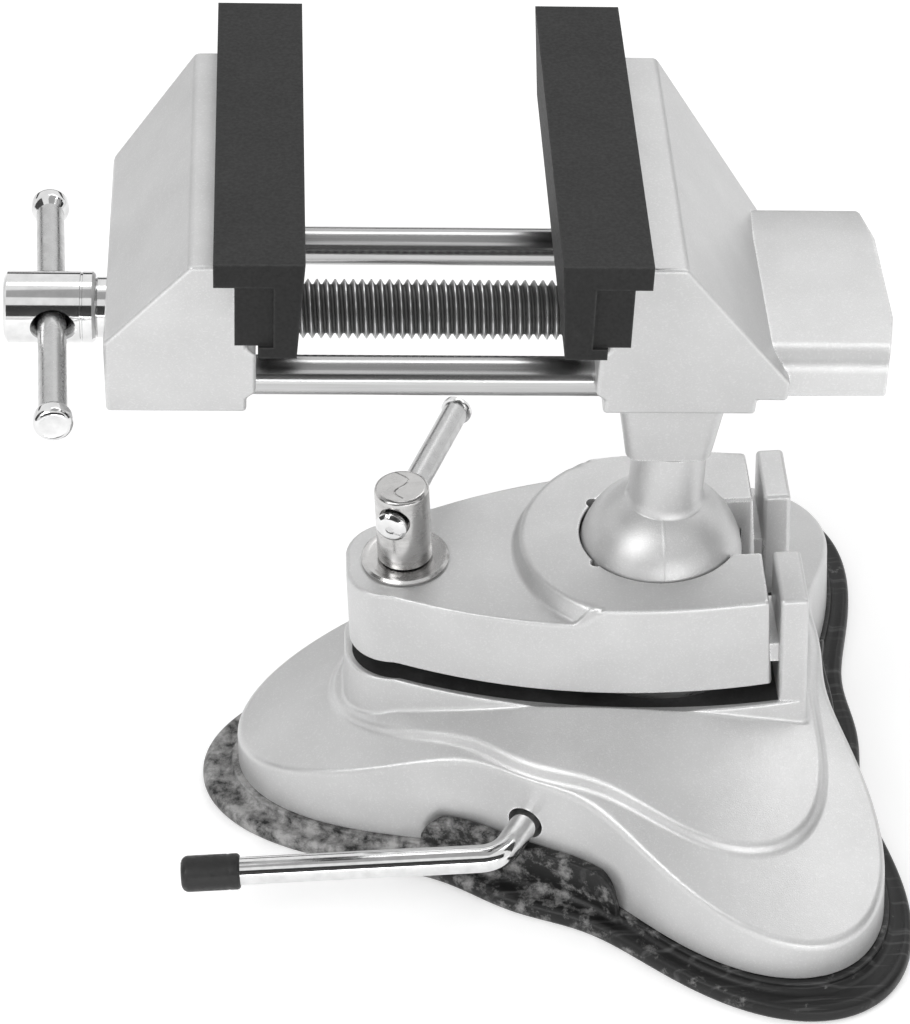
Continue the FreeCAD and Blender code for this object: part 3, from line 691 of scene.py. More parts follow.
@dataclass(frozen=True)
class BarMetal:
    """A bare or plated metal bar with polishing lines."""

    name: str
    light: float
    dark: float
    rough: float
    lines: tuple[float, float, float]
    line_depth: float = 0.004
    warm: float = 0.0

    def make(self, effects: Effects) -> Material:
        """Builds the material."""
        coat = Coat(self.name, 1.0, self.rough, effects, 1200.0)
        graph = coat.graph
        lines = coat.effect(effects.lines, Along_X=self.lines[0], Along_Y=self.lines[1],
                            Along_Z=self.lines[2]).outputs["Lines"]
        dark = grey(self.dark, self.warm)
        tone = graph.blend(lines, dark, grey(self.light, self.warm))
        coat.feed("Base Color", graph.blend(coat.share(coat.grain.outputs["Cloud"], 0.25), tone, dark))
        coat.feed("Roughness", graph.span(lines, 0.0, 1.0, self.rough * 1.35, self.rough * 0.75))
        coat.bump(self.line_depth, 0.6, lines)
        return coat.material


@dataclass(frozen=True)
class ThreadSteel:
    """Bare steel thread, bright on the crests, with painted shade that darkens the roots."""

    crest: float = 0.62
    root: float = 0.10
    rough: float = 0.30
    fineness: float = 2500.0

    def make(self, effects: Effects) -> Material:
        """Builds the material."""
        coat = Coat("thread_steel", 1.0, self.rough, effects, self.fineness)
        graph = coat.graph
        depth = graph.node("ShaderNodeAttribute", attribute_name="root").outputs["Fac"]
        crest = coat.cloudy(self.crest * 0.8, self.crest)
        # painted shade: the roots are painted dark
        coat.feed("Base Color", graph.blend(depth, crest, grey(self.root)))
        coat.feed("Roughness", graph.span(depth, 0.0, 1.0, self.rough, self.rough + 0.25))
        coat.bump(0.02, 0.5)
        return coat.material


@dataclass(frozen=True)
class BlackGrip:
    """Dipped black plastic with a leathery skin."""

    body: float = 0.010
    edge: float = 0.06
    rough: float = 0.42
    fineness: float = 1000.0

    def make(self, effects: Effects) -> Material:
        """Builds the material."""
        coat = Coat("black_grip", 0.0, self.rough, effects, self.fineness)
        coat.set("Specular IOR Level", 0.4)
        base = coat.cloudy(self.body, self.body * 2)
        coat.feed("Base Color", coat.graph.blend(coat.worn(0.0008, 0.6), base, grey(self.edge)))
        coat.feed("Roughness", coat.grain_rough(self.rough - 0.1, self.rough + 0.15))
        coat.bump(0.12, 0.8)
        return coat.material


@dataclass(frozen=True)
class PaintedGapShade:
    """Painted shade: a near black coat on the deck under the clamp cover, standing in for the shade in the
    gap between them.
    """

    body: float = 0.012
    rough: float = 0.5
    fineness: float = 900.0

    def make(self, effects: Effects) -> Material:
        """Builds the material."""
        # painted shade material for the gap under the clamp cover
        coat = Coat("painted_gap_shade", 0.0, self.rough, effects, self.fineness)
        coat.feed("Base Color", coat.cloudy(self.body, self.body * 2.5))
        coat.feed("Roughness", coat.grain_rough(self.rough - 0.1, self.rough + 0.25))
        coat.bump(0.08, 0.7)
        return coat.material


METALS = (
    BarMetal("polished_steel", 0.56, 0.40, 0.17, (25.0, 1500.0, 1500.0)),
    BarMetal("chrome", 0.80, 0.68, 0.08, (500.0, 500.0, 500.0), 0.001),
    BarMetal("satin_chrome", 0.56, 0.48, 0.24, (500.0, 500.0, 500.0), 0.002),
    BarMetal("satin_nickel", 0.60, 0.50, 0.22, (300.0, 300.0, 900.0), 0.002, 0.01),
    BarMetal("zinc_steel", 0.50, 0.36, 0.35, (500.0, 500.0, 2500.0)),
    BarMetal("brass", 0.55, 0.40, 0.30, (2500.0, 300.0, 300.0), warm=0.32),
)


class Finishes:
    """Every finish of the vise, made once from the shared effects."""

    def __init__(self) -> None:
        """Builds the materials."""
        made = Effects()
        self.silver = CastSilver().make(made)
        self.rubber = BlackRubber().make(made)
        self.charcoal = CharcoalRubber().make(made)
        # painted shade for the gap under the clamp cover
        self.gap_shade = PaintedGapShade().make(made)
        self.thread = ThreadSteel().make(made)
        self.grip = BlackGrip().make(made)
        self.rod, self.chrome, self.satin, self.nickel, self.zinc, self.brass = (
            metal.make(made) for metal in METALS)


# Outlines that several pieces share


@dataclass(frozen=True)
class Lobes:
    """A three lobed outline about the middle of the base."""

    mean: float
    third: float
    sixth: float

    def radius(self, turn: float) -> float:
        """Gives the radius in a compass direction in radians, +X first."""
        own = turn + math.pi
        return self.mean * (1 + self.third * math.cos(3 * own) + self.sixth * math.cos(6 * own))


PAD_LOBES = Lobes(56.3, 0.284, 0.073)
WALL_LOBES = Lobes(49.8, 0.323, 0.075)
STEP_LOBES = Lobes(41.2, 0.200, 0.055)


@dataclass(frozen=True)
class PlateOutline:
    """The outline of the clamp cover, which the deck below it follows."""

    nose_x: float = -47.7
    nose_y: float = 3.0
    nose_flat: float = 1.5
    corner: tuple[float, float] = (-45.9, 7.2)
    side_start: tuple[float, float] = (-40.0, 10.2)
    side_middle: tuple[float, float] = (-11.4, 19.8)
    side_y: float = 20.8
    end_room: float = 9.0

    def points(self, grow: float, end: float, corner: float) -> Outline:
        """Gives the closed outline.

        Args:
            grow: How far it is grown outward.
            end: Its right end.
            corner: Rounding of the two right corners.

        Returns:
            Points in order around the outline.
        """
        nose = Vector((self.nose_x - grow, self.nose_y))
        turn = Vector((self.corner[0] - 0.7 * grow, self.corner[1] + 0.7 * grow))
        start = Vector((self.side_start[0] - 0.4 * grow, self.side_start[1] + 0.9 * grow))
        middle = Vector((self.side_middle[0], self.side_middle[1] + grow))
        side = self.side_y + grow
        half = [Vector((nose.x, self.nose_flat))]
        half += arc_points(nose, turn, start, 10)
        half += arc_points(start, middle, Vector((end - corner, side)), 56)
        half += rounded_corner(Vector((end - self.end_room, side)), Vector((end, side)),
                               Vector((end, side - self.end_room)), corner, 6)
        half += [Vector((end, side * share)) for share in (0.8, 0.6, 0.4, 0.2)]
        back = [(point.x, point.y) for point in half]
        front = [(x, -y) for x, y in reversed(back)]
        return back + [(end, 0.0)] + front + [(nose.x, 0.0)]


PLATE = PlateOutline()


def compass(outline: Outline, centre: tuple[float, float], spread: int) -> list[float]:
    """Lists directions from a point: the outline's own corners and an even spread."""
    least = 0.004
    turns = [math.atan2(y - centre[1], x - centre[0]) for x, y in outline]
    turns += [math.pi * (2 * i / spread - 1) for i in range(spread)]
    turns.sort()
    kept = [turns[0]]
    for turn in turns[1:]:
        if turn - kept[-1] > least:
            kept.append(turn)
    return kept


def polar_solid(name: str, centre: tuple[float, float], turns: Sequence[float],
                profile: Callable[[float], Outline], looped: bool = False) -> Piece:
    """Skins a solid from one profile in each direction.

    Args:
        name: Name of the piece.
        centre: Centre of the directions.
        turns: The directions in radians.
        profile: Gives pairs of radius and height for a direction, always equally many.
        looped: True for a solid with a hole in its middle.

    Returns:
        The new object.
    """
    columns = [profile(turn) for turn in turns]
    rings = []
    for row in range(len(columns[0])):
        rings.append([Vector((centre[0] + column[row][0] * math.cos(turn),
                              centre[1] + column[row][0] * math.sin(turn), column[row][1]))
                      for turn, column in zip(turns, columns)])
    return ring_solid(name, rings, looped)


# Sub-assemblies


@dataclass
class SuctionFoot:
    """The rubber pad with its bead and three pull tabs."""

    heart_r: float = 4.0
    ridge_r: float = 15.0
    groove: float = 0.9
    seal: float = 9.0
    rim: float = 3.2
    bead_top: float = 4.6
    bead_inset: float = 5.0
    bead_grow: float = 1.2
    tab_top: float = 11.5
    tab_thick: float = 2.0
    tab_half: float = math.radians(26.0)
    tab_run: float = math.radians(4.5)
    draft: float = 0.037
    step: float = 0.75

    def tab_share(self, turn: float) -> float:
        """Tells how far a direction lies inside a pull tab, from 0 to 1."""
        third = FULL / 3
        off = abs((turn + third / 2) % third - third / 2)
        return min(1.0, max(0.0, (self.tab_half - off) / self.tab_run))

    def profile(self, turn: float) -> Outline:
        """Gives the section of the pad in one direction, from the middle below to the middle above."""
        pad = PAD_LOBES.radius(turn)
        wall = WALL_LOBES.radius(turn)
        share = self.tab_share(turn)
        round_share = math.sqrt(max(0.0, 1 - (1 - share) ** 2))
        top = self.bead_top + (self.tab_top - self.bead_top) * round_share
        outer = wall + (self.tab_thick if share > 0 else self.bead_grow)
        hug = wall + 0.03 - self.draft * (top - self.bead_top)
        deep, ridge, rim, bead = self.groove, self.ridge_r, self.rim, self.bead_top - 0.02
        return soft_profile([
            (self.heart_r, deep, 0), (ridge - 1.0, deep, 0.4), (ridge, 0.0, 0.3), (ridge + 0.6, 0.0, 0.3),
            (ridge + 1.4, deep, 0.4), (pad - self.seal - 1.0, deep, 0.5), (pad - self.seal, 0.0, 0.4),
            (pad - 0.5, 0.0, 0.5), (pad, 0.8, 0.5), (pad - 0.1, rim - 0.7, 0.8), (pad - 1.2, rim, 0.8),
            (pad - 2.4, rim - 0.15, 0.6), (outer + 0.9, rim - 0.25, 0.6), (outer, rim + 0.5, 0.4),
            (outer, top, 0.7 if share > 0 else 0.5), (hug, top, 0.3), (wall - 0.1, bead, 0.1),
            (wall - self.bead_inset, bead, 0.3), (wall - self.bead_inset - 0.2, rim, 0.3),
            (self.heart_r, rim, 0),
        ])

    def build(self, finishes: Finishes) -> None:
        """Builds the rubber pad."""
        turns = [math.radians(i * self.step) - math.pi for i in range(round(360 / self.step))]
        pad = polar_solid("suction_pad_rubber", (0.0, 0.0), turns, self.profile)
        settle(pad, Body.BASE, finishes.rubber, ["suction_pad"], 50.0)


@dataclass
class BaseHousing:
    """The cast body with its lobed wall, cone, step, deck and posts."""

    low: float = 4.6
    peak: float = 41.0
    slope: float = 0.42
    draft: float = 0.037
    step_rise: float = 1.5
    deck_top: float = 31.75
    deck_foot: float = 15.0
    wall: float = 3.2
    roof: float = 27.5
    heart_r: float = 5.0
    post_x: float = 26.6
    post_end: float = 31.6
    post_top: float = 54.0
    post_round: float = 0.8
    slot_half: float = 7.15
    hook_x: float = 28.9
    hook_y: tuple[float, float] = (7.55, 20.5)
    hook_z: tuple[float, float] = (39.9, 44.1)
    lever_turn: float = math.radians(240.0)
    lever_z: float = 15.5
    clamp_x: float = -37.1
    # inset of the painted gap shade from the deck edge
    shade_inset: float = 1.3

    def __post_init__(self) -> None:
        """Works out the two deck outlines."""
        self.deck_low = PLATE.points(2.2, self.post_end + 1.0, 2.2)
        self.deck_high = PLATE.points(1.0, self.post_end, 1.6)

    def cone(self, radius: float, rise: float = 0.0) -> float:
        """Gives the height of the coned top at a radius."""
        return self.peak + rise - self.slope * radius

    def profile(self, turn: float) -> Outline:
        """Gives the section of the housing in one direction, from the inside round to the deck."""
        foot = WALL_LOBES.radius(turn)
        head = foot - self.draft * (self.cone(foot - 0.5) - self.low)
        step = min(STEP_LOBES.radius(turn), head - 0.9)
        low = ray_radius(self.deck_low, (0.0, 0.0), turn)
        high = ray_radius(self.deck_high, (0.0, 0.0), turn)
        run = (low - high) / (self.deck_top - self.deck_foot)
        meet = (self.cone(0, self.step_rise) - self.deck_foot - low / run) / (self.slope - 1 / run)
        meet = min(meet, step - 1.2)
        inner = foot - self.wall
        roof_r = (self.peak - self.wall - self.roof) / self.slope
        return soft_profile([
            (self.heart_r, self.roof, 0), (roof_r, self.roof, 2.0),
            (inner - 0.6, self.cone(inner) - self.wall, 2.0), (inner, self.low, 0.3), (foot, self.low, 0.5),
            (head, self.cone(head), 1.5), (step + 0.5, self.cone(step + 0.5), 0.9),
            (step - 0.4, self.cone(step - 0.4, self.step_rise), 0.9),
            (meet, self.cone(meet, self.step_rise), 0.9),
            (high, self.deck_top, 0.6), (high - 1.4, self.deck_top, 0.1), (self.heart_r, self.deck_top, 0),
        ])

    def lever_line(self, along: float, z: float) -> Vector:
        """Gives a point along the shaft of the lever."""
        return Vector((along * math.cos(self.lever_turn), along * math.sin(self.lever_turn), z))

    def post(self, way: int) -> Piece:
        """Builds one post, a little narrower at its top."""
        rings = []
        for z, outer, end in ((self.deck_top - 2.5, PLATE.side_y + 0.95, self.post_end - 0.03),
                              (self.post_top, PLATE.side_y + 0.1, self.post_end - 0.1)):
            y0, y1 = sorted((way * self.slot_half, way * outer))
            corners = ((self.post_x, y0), (end, y0), (end, y1), (self.post_x, y1))
            rings.append([Vector((x, y, z)) for x, y in corners])
        return round_edges(ring_solid("post", rings), self.post_round, 4)

    def groove(self, way: int) -> Piece:
        """Builds the cutter for the groove that a tongue of the cover hooks into."""
        y0, y1 = sorted(way * y for y in self.hook_y)
        return block("groove", (self.post_x - 1.0, y0, self.hook_z[0]), (self.hook_x, y1, self.hook_z[1]))

    def paint_gap_shade(self, body: Piece, finishes: Finishes) -> None:
        """Paints shade on the deck below the cover: its flat top inside the cover outline gets the near black
        painted-shade material.
        """
        body.data.materials.append(finishes.silver)
        body.data.materials.append(finishes.gap_shade)
        for face in body.data.polygons:
            centre = face.center / MM
            rim = ray_radius(self.deck_high, (0.0, 0.0), math.atan2(centre.y, centre.x)) - self.shade_inset
            inside = math.hypot(centre.x, centre.y) < rim and centre.x < self.post_x
            flat = abs(centre.z - self.deck_top) < 0.02 and face.normal.z > 0.9
            face.material_index = 1 if flat and inside else 0

    def build(self, finishes: Finishes) -> None:
        """Builds the housing."""
        turns = compass(self.deck_high + self.deck_low, (0.0, 0.0), 288)
        body = polar_solid("base_housing_casting", (0.0, 0.0), turns, self.profile)
        out = self.lever_line(1.0, 0.0)
        bearing = block("bearing", (14.0, -5.5, 10.0), (20.0, 5.5, self.roof + 0.8))
        bearing.data.transform(Matrix.Rotation(self.lever_turn, 4, "Z"))
        change(body, [
            self.post(-1), self.post(1),
            turned("boss", [(0, 5.5), (8.6, 5.5)], self.lever_line(27.0, self.lever_z), out, 40),
            turned("boss", [(0, 7.0), (19.5, 7.0)], Vector((self.clamp_x, 0, 10.0)), UP, 40), bearing,
        ], Join.ADD)
        bore = [(0, 2.55), (18.5, 2.55), (19.0, 3.25), (40.0, 3.25)]
        change(body, [
            turned("hole", bore, self.lever_line(13.0, self.lever_z), out, 48),
            turned("hole", [(0, 3.05), (30, 3.05)], Vector((self.clamp_x, 0, 9.0)), UP, 40),
            self.groove(-1), self.groove(1),
        ], Join.CUT)
        # painted shade on the deck under the cover
        self.paint_gap_shade(body, finishes)
        settle(body, Body.BASE, finishes.silver, ["base_housing"], 36.0)


@dataclass
class SuctionLever:
    """The bent chrome lever with its grip."""

    turn: float = math.radians(240.0)
    z: float = 15.5
    radius: float = 2.45
    inner: float = 14.0
    shaft: float = 5.9
    reach: float = 46.5
    bend: float = 6.0
    half_bend: float = math.radians(30.0)
    arm_end: float = -70.0
    grip_radius: float = 3.15
    grip_start: float = -68.3
    grip_end: float = -78.5
    grip_round: float = 1.3

    def route(self) -> Ring:
        """Gives the middle line of the rod."""
        out = Vector((math.cos(self.turn), math.sin(self.turn), 0))
        corner = out * self.reach + UP * self.z
        setback = self.bend * math.tan(self.half_bend)
        centre = corner + (-out - AHEAD).normalized() * (self.bend / math.cos(self.half_bend))
        a = (corner - out * setback - centre).normalized()
        b = (corner - AHEAD * setback - centre).normalized()
        bend = [centre + a.slerp(b, i / 12) * self.bend for i in range(13)]
        start = out * self.inner + UP * self.z
        return [start, start + out * self.shaft] + bend + [Vector((self.arm_end, corner.y, self.z))]

    def rod(self) -> Piece:
        """Sweeps the rod along its route."""
        line = self.route()
        rings = []
        for i, point in enumerate(line):
            ahead = (line[min(i + 1, len(line) - 1)] - line[max(i - 1, 0)]).normalized()
            side = ahead.cross(UP).normalized()
            rings.append([point + (side * math.cos(t) + UP * math.sin(t)) * self.radius for t in circle(48)])
        return ring_solid("suction_lever_rod", rings)

    def grip(self) -> Piece:
        """Turns the grip with its rolled lip and round end."""
        long = self.grip_start - self.grip_end
        r, bend = self.grip_radius, self.grip_round
        profile = [(0.0, self.radius + 0.02), (0.0, 2.8), (0.25, 3.05), (0.6, r), (1.6, r), (2.0, 3.08),
                   (2.4, r)]
        for i in range(9):
            turn = math.radians(90 * i / 8)
            profile.append((long - bend + bend * math.sin(turn), r - bend + bend * math.cos(turn)))
        profile.append((long - 0.1, 0.4))
        start = Vector((self.grip_start, self.reach * math.sin(self.turn), self.z))
        return turned("suction_lever_grip", profile, start, -AHEAD)

    def build(self, finishes: Finishes) -> None:
        """Builds the rod and the grip."""
        settle(self.rod(), Body.LEVER, finishes.chrome, ["lever_rod"])
        settle(self.grip(), Body.LEVER, finishes.grip, ["lever_grip"])


@dataclass
class ClampCover:
    """The deep cover that presses the ball down, with its round boss and slot."""

    rim: float = 35.0
    top: float = 50.3
    boss_top: float = 53.8
    boss_foot_r: float = 24.3
    boss_top_r: float = 23.0
    boss_back: float = 1.4
    ball_x: float = 7.6
    slot_half: float = 7.15
    lip: float = 1.1
    hole_r: float = 14.0
    relief_r: float = 14.95
    socket_r: float = 18.5
    socket_low: float = 44.0
    wall: float = 3.0
    clamp_x: float = -37.1
    notch_turns: tuple[float, float] = (143.0, 214.0)
    tongue_x: tuple[float, float] = (21.9, 28.6)
    tongue_y: tuple[float, float] = (7.7, 20.3)
    tongue_z: tuple[float, float] = (40.0, 44.0)

    def __post_init__(self) -> None:
        """Works out the outlines at the rim and at the top."""
        self.low = PLATE.points(0.0, 25.5, 0.9)
        self.high = PLATE.points(-0.15, 24.7, 0.9)

    def boss_reach(self, turn: float, radius: float) -> float:
        """Gives the distance from the ball to a circle about the middle of the boss."""
        back = self.boss_back
        return math.sqrt(radius ** 2 - (back * math.sin(turn)) ** 2) - back * math.cos(turn)

    def top_at(self, turn: float, reach: float) -> float:
        """Gives the height of the top in a direction and at a distance from the ball."""
        if reach * math.cos(turn) > -self.boss_back:
            return self.boss_top
        foot = self.boss_reach(turn, self.boss_foot_r)
        crown = self.boss_reach(turn, self.boss_top_r)
        share = (foot - reach) / (foot - crown)
        return self.top + (self.boss_top - self.top) * min(1.0, max(0.0, share))

    def profile(self, turn: float) -> Outline:
        """Gives the section in one direction, round from the rim over the top to the inside."""
        centre = (self.ball_x, 0.0)
        low = ray_radius(self.low, centre, turn)
        high = ray_radius(self.high, centre, turn)
        foot = min(self.boss_reach(turn, self.boss_foot_r), high - 0.9)
        crown = min(self.boss_reach(turn, self.boss_top_r), high - 1.8)
        inner = low - self.wall
        socket = min(self.socket_r, inner - 0.3)
        return soft_profile([
            (low, self.rim, 0.4), (high, self.top_at(turn, high), 0.9), (foot, self.top_at(turn, foot), 0.6),
            (crown, self.boss_top, 1.0), (self.hole_r, self.boss_top, 0.5), (self.hole_r + 0.5, 51.2, 0.3),
            (self.relief_r, 50.7, 0.2), (self.relief_r, self.socket_low, 0.2), (socket, self.socket_low, 0.2),
            (socket + 0.05, self.top - self.wall, 0.2), (inner, self.top - self.wall - 0.1, 0.2),
            (inner, self.rim, 0.4),
        ], True)

    def slot_tool(self) -> Piece:
        """Builds the slot cutter with its flared top edge and mouth."""
        low, edge, over, high = self.rim - 5.0, self.boss_top - 0.5, self.boss_top + 0.6, 60.0
        rings = []
        for x, mouth in ((self.ball_x, 0.0), (24.2, 0.0), (25.0, 0.4), (30.0, 2.9)):
            wide = self.slot_half + mouth
            lip = wide + self.lip
            rings.append([Vector((x, y, z)) for y, z in (
                (-wide, low), (wide, low), (wide, edge), (lip, over), (lip, high), (-lip, high), (-lip, over),
                (-wide, edge))])
        return ring_solid("slot", rings)

    def build(self, finishes: Finishes) -> None:
        """Builds the cover."""
        centre = (self.ball_x, 0.0)
        turns = compass(self.high, centre, 150)
        cover = polar_solid("clamp_cover_casting", centre, turns, self.profile, True)
        boss = turned("boss", [(0, 7.0), (8.5, 7.0)], Vector((self.clamp_x, 0, 40.0)), UP, 40)
        change(cover, [boss], Join.ADD)
        cuts = [self.slot_tool(),
                turned("hole", [(0, 3.6), (20, 3.6)], Vector((self.clamp_x, 0, 34.0)), UP, 40)]
        for turn in self.notch_turns:
            spot = Vector((self.ball_x + self.hole_r * math.cos(math.radians(turn)),
                           self.hole_r * math.sin(math.radians(turn)), 49.0))
            cuts.append(turned("notch", [(0, 0.9), (8, 1.3)], spot, UP, 20))
        change(cover, cuts, Join.CUT)
        tongues = []
        for way in (-1, 1):
            y0, y1 = sorted(way * y for y in self.tongue_y)
            tongues.append(block("tongue", (self.tongue_x[0], y0, self.tongue_z[0]),
                                 (self.tongue_x[1], y1, self.tongue_z[1])))
        change(cover, tongues, Join.ADD)
        settle(cover, Body.CLAMP_COVER, finishes.silver, ["clamp_plate"], 40.0)


@dataclass
class ClampScrew:
    """The clamp screw: washer, round head with its cross hole, and sliding bar."""

    x: float = -37.1
    plate_top: float = 50.3
    barrel_r: float = 4.8
    barrel_low: float = 51.35
    barrel_top: float = 66.6
    bore_r: float = 3.05
    bar_r: float = 2.3
    bar_z: float = 62.0
    bar_turn: float = math.radians(68.4)
    bar_near: float = -6.45
    bar_far: float = 29.3
    cross_r: float = 2.85
    cap_r: float = 2.8
    cap_long: float = 1.55
    seam_step: float = 0.73
    seam_wave: float = 1.3
    seam_r: float = 0.16

    def line(self, along: float) -> Vector:
        """Gives a point along the sliding bar."""
        return Vector((self.x + along * math.cos(self.bar_turn), along * math.sin(self.bar_turn), self.bar_z))

    def cap(self, name: str, start: Vector, outward: Vector) -> Piece:
        """Builds one pressed end cap, start being its outer face."""
        r = self.cap_r
        profile = [(0, 0.6), (0.0, r - 0.75), (0.14, r - 0.5), (0.55, r), (1.2, r), (1.42, r - 0.12),
                   (self.cap_long, self.bar_r - 0.05)]
        return turned(name, profile, start, -outward, 48)

    def washer(self) -> Piece:
        """Builds the washer with its raised rim."""
        section = [(3.45, 0.0), (7.45, 0.0), (7.75, 0.25), (7.75, 0.6), (7.35, 0.98), (6.5, 0.98),
                   (6.25, 0.8), (3.45, 0.8)]
        return polar_solid("clamp_screw_washer", (self.x, 0.0), circle(72),
                           lambda turn: [(r, self.plate_top + z) for r, z in section], True)

    def head(self) -> Piece:
        """Builds the round head with its cross hole, its bore and the wavy seam on its top."""
        long = self.barrel_top - self.barrel_low
        r = self.barrel_r
        profile = [(0, r - 0.3), (0.3, r), (long - 0.8, r), (long - 0.35, r - 0.15), (long - 0.08, r - 0.5),
                   (long, r - 0.9)]
        head = turned("clamp_screw_head", profile, Vector((self.x, 0, self.barrel_low)), UP, 72)
        way = (self.line(1.0) - self.line(0.0)).normalized()
        mouth, wide = self.cross_r + 0.75, self.cross_r
        cross = [(0, mouth), (1.75, wide), (9.85, wide), (11.6, mouth)]
        cuts = [turned("hole", cross, self.line(-5.8), way, 40),
                turned("bore", [(0, self.bore_r), (7.3, self.bore_r)],
                       Vector((self.x, 0, self.barrel_low - 0.1)), UP, 40)]
        for i in range(10):
            y = self.seam_step * i - 3.3
            next_y = y + self.seam_step + 0.01
            spot = Vector((self.x + self.seam_wave * math.sin(y), y, self.barrel_top))
            ahead = Vector((self.seam_wave * (math.sin(next_y) - math.sin(y)), self.seam_step + 0.01, 0))
            cuts.append(turned("seam", [(0, self.seam_r), (ahead.length, self.seam_r)], spot, ahead, 8))
        return change(head, cuts, Join.CUT)

    def build(self, finishes: Finishes) -> None:
        """Builds the washer, the head, the bar and its caps."""
        settle(self.washer(), Body.CLAMP_COVER, finishes.nickel, ["clamp_washer"])
        settle(self.head(), Body.CLAMP_KNOB, finishes.nickel, ["clamp_barrel"])
        way = (self.line(1.0) - self.line(0.0)).normalized()
        bar = turned("clamp_screw_bar", rod_profile(self.bar_far - self.bar_near - 1.0, self.bar_r, 0.2),
                     self.line(self.bar_near + 0.5), way, 48)
        settle(bar, Body.CLAMP_HANDLE, finishes.satin, ["clamp_bar"])
        near = self.cap("clamp_screw_cap_near", self.line(self.bar_near), -way)
        far = self.cap("clamp_screw_cap_far", self.line(self.bar_far), way)
        settle(near, Body.CLAMP_HANDLE, finishes.chrome, ["clamp_bar_caps"])
        settle(far, Body.CLAMP_HANDLE, finishes.chrome, [])


@dataclass
class HeadFrame:
    """The leaning frame of the head: the level of its spindle above the ball."""

    ball_x: float = 7.6
    ball_z: float = 49.0
    rise: float = 52.3
    offset: float = 1.4
    lean: float = math.radians(4.0)

    def place(self, piece: Piece, share: float = 1.0) -> Piece:
        """Moves a piece to its place; a share of 0 puts the frame straight above the ball."""
        ball = Vector((self.ball_x, 0, self.ball_z)) * MM
        piece.matrix_world = (Matrix.Translation(ball) @ Matrix.Rotation(self.lean, 4, "Y")
                              @ Matrix.Translation(Vector((-self.offset * share, 0, self.rise)) * MM))
        return piece


HEAD = HeadFrame()


@dataclass
class BallNeck:
    """The ball with its parting line and the neck that flares to the head."""

    ball_r: float = 14.4
    seam_rise: float = 0.09
    seam_half: float = 0.012
    foot_r: float = 7.6
    neck_r: float = 6.5
    flare_start: float = -26.5
    start_half: float = 7.3
    start_offset: float = 0.9
    flare_top: float = -7.55
    top_half: float = 10.0
    corner: float = 2.2

    def ball(self) -> Piece:
        """Turns the ball about the X axis so that its parting line runs over the top."""
        profile = []
        for i in range(97):
            turn = math.pi * i / 96
            seam = self.seam_rise if abs(turn - math.pi / 2) < self.seam_half else 0.0
            profile.append((-self.ball_r * math.cos(turn), max(0.05, self.ball_r * math.sin(turn) + seam)))
        for extra in (-0.016, 0.016):
            turn = math.pi / 2 + extra
            profile.append((-self.ball_r * math.cos(turn), self.ball_r * math.sin(turn)))
        profile.sort()
        return turned("swivel_ball_casting", profile, Vector((HEAD.ball_x, 0, HEAD.ball_z)), AHEAD, 128)

    def square(self, half: float, corner: float, offset: float, z: float) -> Ring:
        """Gives a square ring with round corners, a circle where the corner is as large as the half."""
        ring = []
        for quarter in range(4):
            side_x = 1 if quarter in (0, 3) else -1
            side_y = 1 if quarter in (0, 1) else -1
            for step in range(24):
                turn = math.radians(90 * quarter + 90 * step / 24)
                ring.append(Vector((side_x * (half - corner) + corner * math.cos(turn) - offset,
                                    side_y * (half - corner) + corner * math.sin(turn), z)))
        return ring

    def neck(self) -> Piece:
        """Builds the neck from the ball up to its square top."""
        low = -HEAD.rise + math.sqrt(self.ball_r ** 2 - self.foot_r ** 2) - 0.1
        start = self.flare_start
        rows = [(r, r - 0.01, 0.0, low + up) for r, up in
                ((self.foot_r, 0.0), (7.15, 0.25), (6.85, 0.7), (6.65, 1.4), (self.neck_r, 2.4))]
        rows += [(self.neck_r, self.neck_r - 0.01, 0.0, start - 0.6), (6.65, 5.6, 0.15, start - 0.3),
                 (self.start_half - 0.35, 3.4, 0.6, start - 0.05),
                 (self.start_half, 2.4, self.start_offset, start + 0.3)]
        for i in range(1, 9):
            share = i / 8
            rows.append((self.start_half + (self.top_half - self.start_half) * share, self.corner,
                         self.start_offset + (HEAD.offset - self.start_offset) * share,
                         start + 0.3 + (self.flare_top - start - 0.3) * share))
        return ring_solid("neck_casting", [self.square(*row) for row in rows])

    def build(self, finishes: Finishes) -> None:
        """Builds the ball and the neck."""
        settle(self.ball(), Body.BALL, finishes.silver, ["ball"], 60.0)
        settle(HEAD.place(self.neck(), 0.0), Body.NECK, finishes.silver, ["neck"], 30.0)


